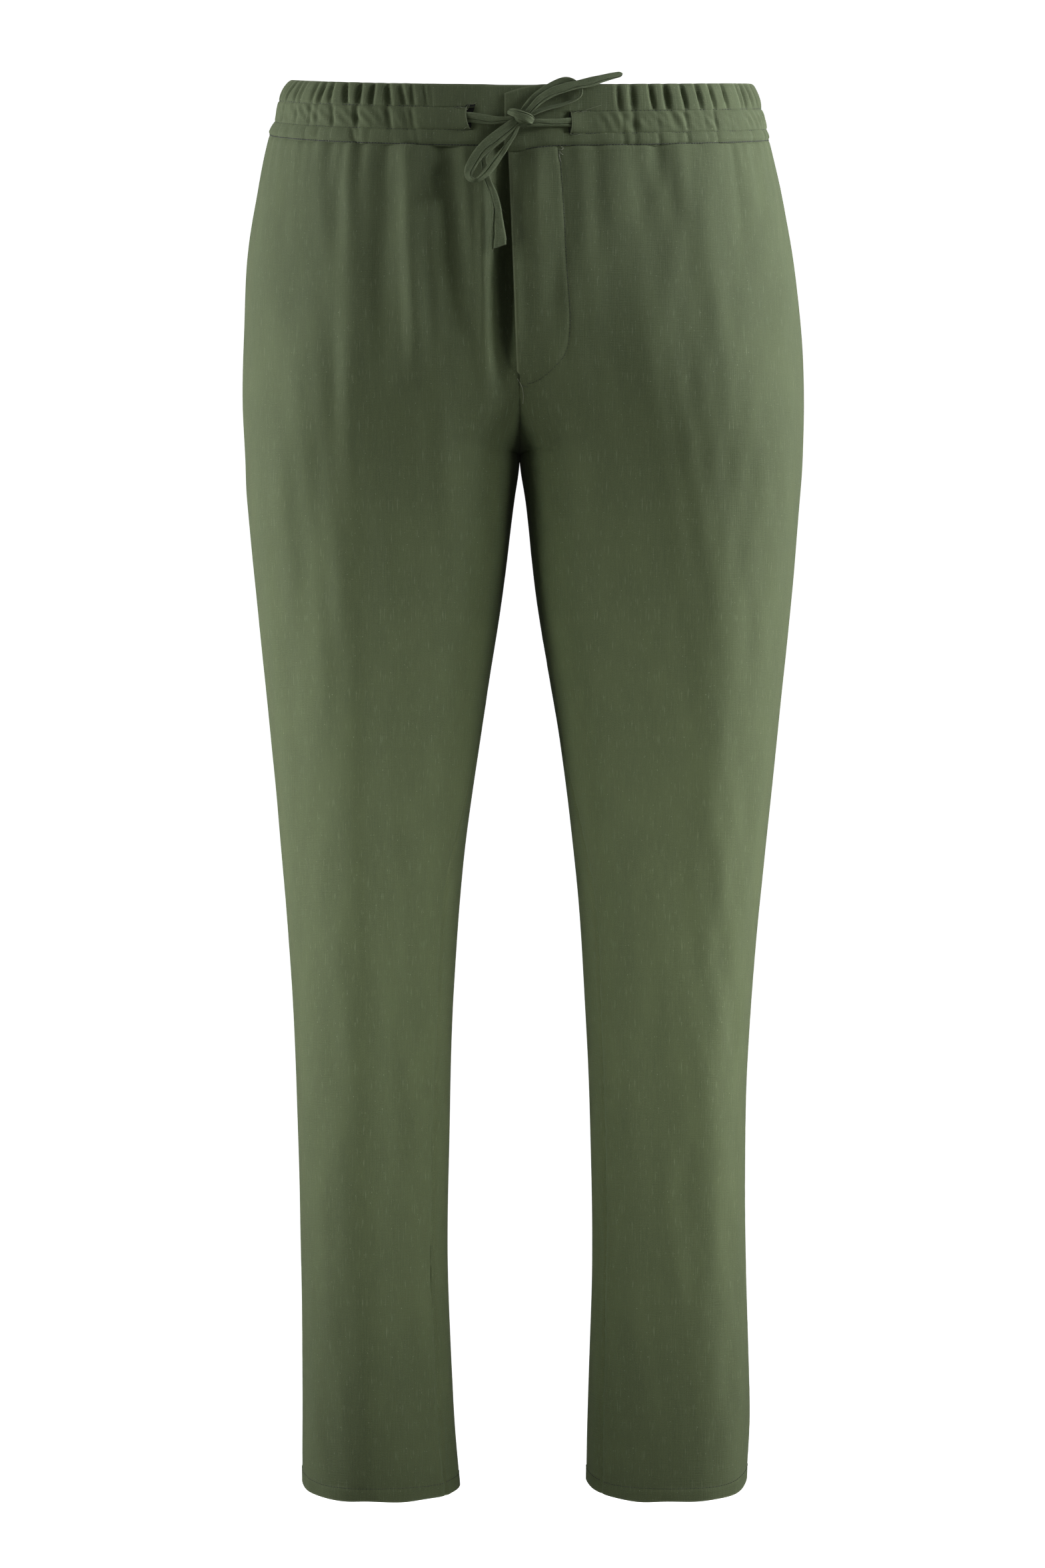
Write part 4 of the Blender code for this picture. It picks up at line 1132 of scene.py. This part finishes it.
def sew_row(name, tree, paths, seed, pitch=3.1, hole=1.2):
    """A row of stitches in the cloth's colour, with a dark mark between each two of them: painted shade for the
    needle hole.
    """
    row = {"tree": tree, "paths": paths, "pitch": pitch, "seed": seed}
    sew(f"stitches_{name}", thread=tack_thread, length=0.62 * pitch, **row)
    # Each needle hole is a small dark capsule: painted shade of the hole.
    sew(f"painted_hole_shade_{name}", thread=thread_and_painted_shade, length=hole, thickness=0.65 * hole, start=1, **row)


# %% Sew the waistband
def band_path(side, depth, start, end):
    places = np.arange(start, end, 3.0)[None, :]
    off, on = (band_grid(side, places, [depth], np.full_like(places, lift))[0] for lift in (6.0, 0.0))
    if side > 0:
        off[:, 2] -= lap_dip(places[0]) * ease(depth, LAP_DIP_START, BAND_HEIGHT)
        on[:, 2] = off[:, 2]
    return np.hstack([off, on - off])


for side, word in SIDES.items():
    end = BAND_LENGTH[side] - 1.5
    paths = [band_path(side, depth, TUNNEL_END + 1.5, end) for depth in TUNNEL_ROWS[side]]
    sew_row(f"tunnel_{word}", tree_of(tunnels[side]), paths, seed=3 + side)
    tree = tree_of(bands[side], panels["front", side][0], panels["back", side][0])
    path = band_path(side, BAND_HEIGHT + 0.5, 4.0 if side > 0 else 22.0, end)
    # The waist seam is a continuous dark line in the ditch under the band: thread, darkened and joined up as painted
    # shade of the ditch.
    sew(
        f"thread_and_painted_shade_waist_seam_{word}", tree, [path], thread_and_painted_shade,
        pitch=2.3, length=2.7, thickness=0.8, lift=0.1, seed=5 + side,
    )


# %% Sew the fly and the hems
def front_path(places):
    """A path off the front from pairs of x and height, with its way back to the cloth."""
    return [(x, front_y(x, z) - 8.0, z, 0.0, 1.0, 0.0) for x, z in places]


def stitch_curve(places, step=3.0):
    """The same path with more points, on a smooth curve."""
    places = np.array(places, float)
    along = distances(places)
    wanted = np.linspace(0, along[-1], int(along[-1] / step) + 1)
    return np.column_stack([through(along, column, wanted) for column in places.T])


left_front = tree_of(panels["front", 1][0])
sew_row("fly", left_front, [front_path(stitch_curve(FLY_STITCH))], pitch=2.7, hole=1.1, seed=8)

stitch_row = int(np.abs(PANEL_ROWS - HEM - 9.8).argmin())  # the stitching lies just above the edge of the fold
for (face, side), (piece, outer) in panels.items():
    tree = tree_of(piece)
    row = outer[stitch_row, 1:-1]
    off = np.array([tree.find_nearest(Vector(point) * MM)[1] for point in row])
    sew_row(f"hem_{face}_{SIDES[side]}", tree, [np.hstack([row + 3 * off, -off])], hole=1.0, seed=9)

# %% [markdown]
# The ends of the slits and of the fly take the strain, so they are held by bartacks: short dense zigzags. There
# and on the tape's end a few threads have come loose. Each is a fine tube along a given curve.

# %% Bartacks
# Columns: x and height of one end, x and height of the other.
BARTACKS = {
    "slit_right_top": (-45.4, -36.2, -37.2, -36.0),
    "slit_right_foot": (-39.6, -52.6, -33.6, -52.2),
    "slit_left_top": (36.4, -39.6, 46.4, -39.2),
    "slit_left_foot": (34.8, -55.4, 43.0, -55.4),
    "fly_foot": (-1.0, -230.4, 6.0, -232.4),
}
whole_front = tree_of(*bands.values(), *tunnels.values(), panels["front", -1][0], panels["front", 1][0])
for name, (x, z, end_x, end_z) in BARTACKS.items():
    path = front_path(stitch_curve([(x, z), (end_x, end_z)], 1.0))
    sew(f"bartack_{name}", whole_front, [path], tack_thread, pitch=0.7, length=1.25, turn=74, seed=11)


# %% Painted shade inside the slits
# A near-black sheet lies in each opening as painted shade, where only the shaded inside of the tunnel shows. Columns:
# height, the sides of the opening. The cloth of the tunnel covers its outer side.
SLIT_SHADES = {
    "right": [
        (-33.8, -35.8, -31.2), (-35.4, -38.0, -31.2), (-38.5, -38.6, -32.2), (-42.0, -39.2, -33.6),
        (-46.0, -39.0, -34.0), (-49.0, -38.0, -33.6), (-51.6, -36.0, -34.6),
    ],
    "left": [(-39.4, 34.9, 37.0), (-43.0, 34.2, 37.6), (-48.0, 34.0, 37.6), (-53.0, 34.2, 37.6), (-56.2, 35.0, 37.0)],
}
SLIT_COLUMNS = 9
band_tree = tree_of(*bands.values())


def on_front(tree, x, z, lift):
    """The point at a lift off the cloth, seen from the front."""
    spot = tree.ray_cast(Vector((x, -250.0, z)) * MM, Vector((0, 1, 0)))[0]
    return x, spot.y / MM - lift, z


for word, rows in SLIT_SHADES.items():
    grid = np.array([
        [on_front(band_tree, x, z, 0.06) for x in np.linspace(low, high, SLIT_COLUMNS)]
        for z, low, high in stitch_curve(rows, 0.8)
    ])
    # A dark sheet of painted shade in the opening.
    cloth(f"painted_shade_slit_{word}", grid, grid[..., 0], grid[..., 2], wall=0.3, material=painted_slit_shade)


# %% Loose threads
THREAD_SIDES = 5


def thread_tube(route, radius):
    """Points and faces of a fine tube along places on the front. Columns of the route: x, height, lift."""
    line = np.array([on_front(whole_front, *place) for place in stitch_curve(route, 0.7)])
    forward = unit(np.gradient(line, axis=0))
    flank = unit(np.cross(forward, TO_FRONT))
    points = [
        middle + radius * (right * math.cos(turn) + front * math.sin(turn))
        for middle, right, front in zip(line, flank, np.cross(flank, forward))
        for turn in np.linspace(0, math.tau, THREAD_SIDES, endpoint=False)
    ]
    return points, closed_tube(len(line), THREAD_SIDES)


def loose_threads(name, routes, material, radius):
    points, faces = [], []
    for route in routes:
        new_points, new_faces = thread_tube(route, radius)
        faces += [tuple(len(points) + corner for corner in face) for face in new_faces]
        points += new_points
    return mesh_piece(name, points, faces, material)


loose_threads("frayed_threads_slits", [
    [(-34.6, -51.6, 0.5), (-36.4, -48.0, 0.6), (-37.8, -43.0, 0.6), (-38.0, -38.6, 0.8), (-36.4, -35.2, 1.0),
     (-35.2, -33.9, 1.0), (-32.8, -33.9, 0.6), (-30.2, -32.9, 0.3)],
    [(-37.0, -38.2, 0.6), (-35.6, -36.2, 1.2), (-34.9, -34.4, 1.0), (-32.6, -34.4, 0.7), (-30.8, -33.6, 0.4)],
    [(-37.6, -37.0, 0.6), (-40.5, -36.6, 0.7), (-42.2, -36.2, 0.5), (-45.0, -37.0, 0.3)],
    [(-34.4, -51.4, 0.5), (-36.6, -50.6, 0.9), (-38.8, -51.8, 0.4)],
    [(35.6, -56.0, 0.6), (35.1, -51.0, 0.8), (35.2, -46.0, 0.8), (35.6, -40.0, 0.6)],
    [(35.6, -39.8, 0.4), (37.8, -40.6, 0.8), (40.2, -39.6, 0.8), (43.0, -40.0, 0.5), (46.8, -38.8, 0.3)],
    [(43.0, -39.4, 0.3), (48.0, -37.4, 0.4), (53.5, -35.6, 0.4), (57.0, -34.6, 0.3)],
    [(35.2, -55.2, 0.5), (38.4, -56.4, 0.7), (42.6, -55.2, 0.4)],
], frayed_yarn, 0.17)
loose_threads("pale_threads_fly", [
    [(27.6, -66.2, 0.5), (29.2, -66.6, 1.0), (30.4, -65.0, 0.8), (28.8, -64.2, 0.5)],
    [(28.0, -67.4, 0.6), (28.9, -69.4, 0.9), (30.2, -69.8, 0.4)],
    [(27.2, -69.6, 0.5), (27.9, -72.4, 0.6), (28.7, -75.2, 0.3)],
    [(-1.7, -226.4, 0.5), (1.6, -232.3, 0.9), (2.5, -238.0, 0.6), (2.2, -243.0, 0.3)],
], pale_thread, 0.16)
loose_threads("frayed_threads_tape", [
    [(-13.2, -107.2, 5.0), (-11.7, -108.6, 5.4), (-9.8, -110.8, 5.0)],
    [(-10.9, -116.6, 5.4), (-9.4, -117.0, 5.6), (-8.6, -117.9, 5.2)],
    [(-18.2, -137.0, 6.0), (-18.8, -138.4, 6.0), (-18.4, -139.6, 5.6)],
], frayed_yarn, 0.15)

# %% [markdown]
# ## Sizes of the cloth
# The names of the band pieces and the length of each run of tape are worked out here, but nothing is stored on the
# pieces. The panels are wider at the crotch than anywhere else, so their cut is not a rectangle and has an area of
# its own. The bands were cut longer than they lie now, because the elastic gathers them.

for side, word in SIDES.items():
    waistband = f"waistband_{word}_cloth"

for name, (piece, line) in tapes.items():
    length = float(distances(line)[-1]) * MM

# %% [markdown]
# ## Studio
# The background and the floor are plain white paper, bright enough to leave no shadow. Two large soft lights stand
# at the sides, level with the trousers, so that the sides are light and the middle stays deep in tone. They alone
# would leave the fronts of the legs too dark. So five weaker, narrow lights in front add to them: two for the legs,
# one for the inner side of the right leg and two for the waist. The ones at the wearer's left are stronger at the
# waist, so that the gathers and the bow shade the cloth at their right. The light on the legs is a little warmer
# than the light on the waist. A dim, even light from all round fills the rest.

# %% Floor and background
WHITE = srgb("#ffffff")
glow = {"Emission_Color": WHITE, "Emission_Strength": 1.0}
paper, _, _ = new_material("white_paper", Base_Color=WHITE, Roughness=1.0, **glow)
for name, place, turn in (("floor", (0, 0, -1.16), (0, 0, 0)), ("backdrop", (0, 9.0, 0), (math.pi / 2, 0, 0))):
    bpy.ops.object.select_all(action="DESELECT")
    bpy.ops.mesh.primitive_plane_add(size=30.0, location=place, rotation=turn)
    sheet = bpy.context.object
    sheet.name = name
    sheet.data.materials.append(paper)
    sheet.visible_diffuse = sheet.visible_glossy = False

# %% Lights
world = bpy.data.worlds.new("studio")
world.use_nodes = True
background = world.node_tree.nodes["Background"]
background.inputs["Color"].default_value = (1, 1, 1, 1)
background.inputs["Strength"].default_value = 0.12
bpy.context.scene.world = world


def soft_light(name, place, aim, width, height, watts, spread=180, blue=1.0):
    """A rectangle of light. A smaller spread, in degrees, keeps it to the part that it is aimed at."""
    light = bpy.data.objects.new(name, bpy.data.lights.new(name, "AREA"))
    light.data.spread = math.radians(spread)
    light.data.color = (1, 1, blue)
    light.visible_camera = False
    light.data.shape = "RECTANGLE"
    light.data.size, light.data.size_y, light.data.energy = width, height, watts
    light.location = place
    light.rotation_euler = (Vector(aim) - Vector(place)).to_track_quat("-Z", "Y").to_euler()
    bpy.context.scene.collection.objects.link(light)


soft_light("light_left_side", (1.2, 0.05, -0.02), (0, 0, -0.20), 0.8, 0.8, 15.5, blue=1.04)
soft_light("light_right_side", (-1.2, 0.05, -0.02), (0, 0, -0.20), 0.8, 0.8, 13.3, blue=1.04)
soft_light("light_left_legs", (1.25, -1.05, -0.60), (0, 0, -0.60), 0.7, 0.6, 0.63, 36, blue=0.92)
soft_light("light_right_legs", (-1.42, -0.80, -0.60), (0, 0, -0.60), 0.7, 0.6, 0.92, 36, blue=0.92)
soft_light("light_between_legs", (1.30, -0.62, -0.75), (-0.06, -0.03, -0.72), 0.4, 0.5, 0.34, 34, blue=0.92)
soft_light("light_waist_left", (1.15, -0.40, 0.42), (0.10, -0.08, 0.0), 0.35, 0.35, 0.46, 38, blue=1.1)
soft_light("light_waist_right", (-1.15, -0.40, 0.42), (-0.10, -0.08, 0.0), 0.35, 0.35, 0.10, 38, blue=1.1)
bpy.context.scene.view_settings.view_transform = "Standard"
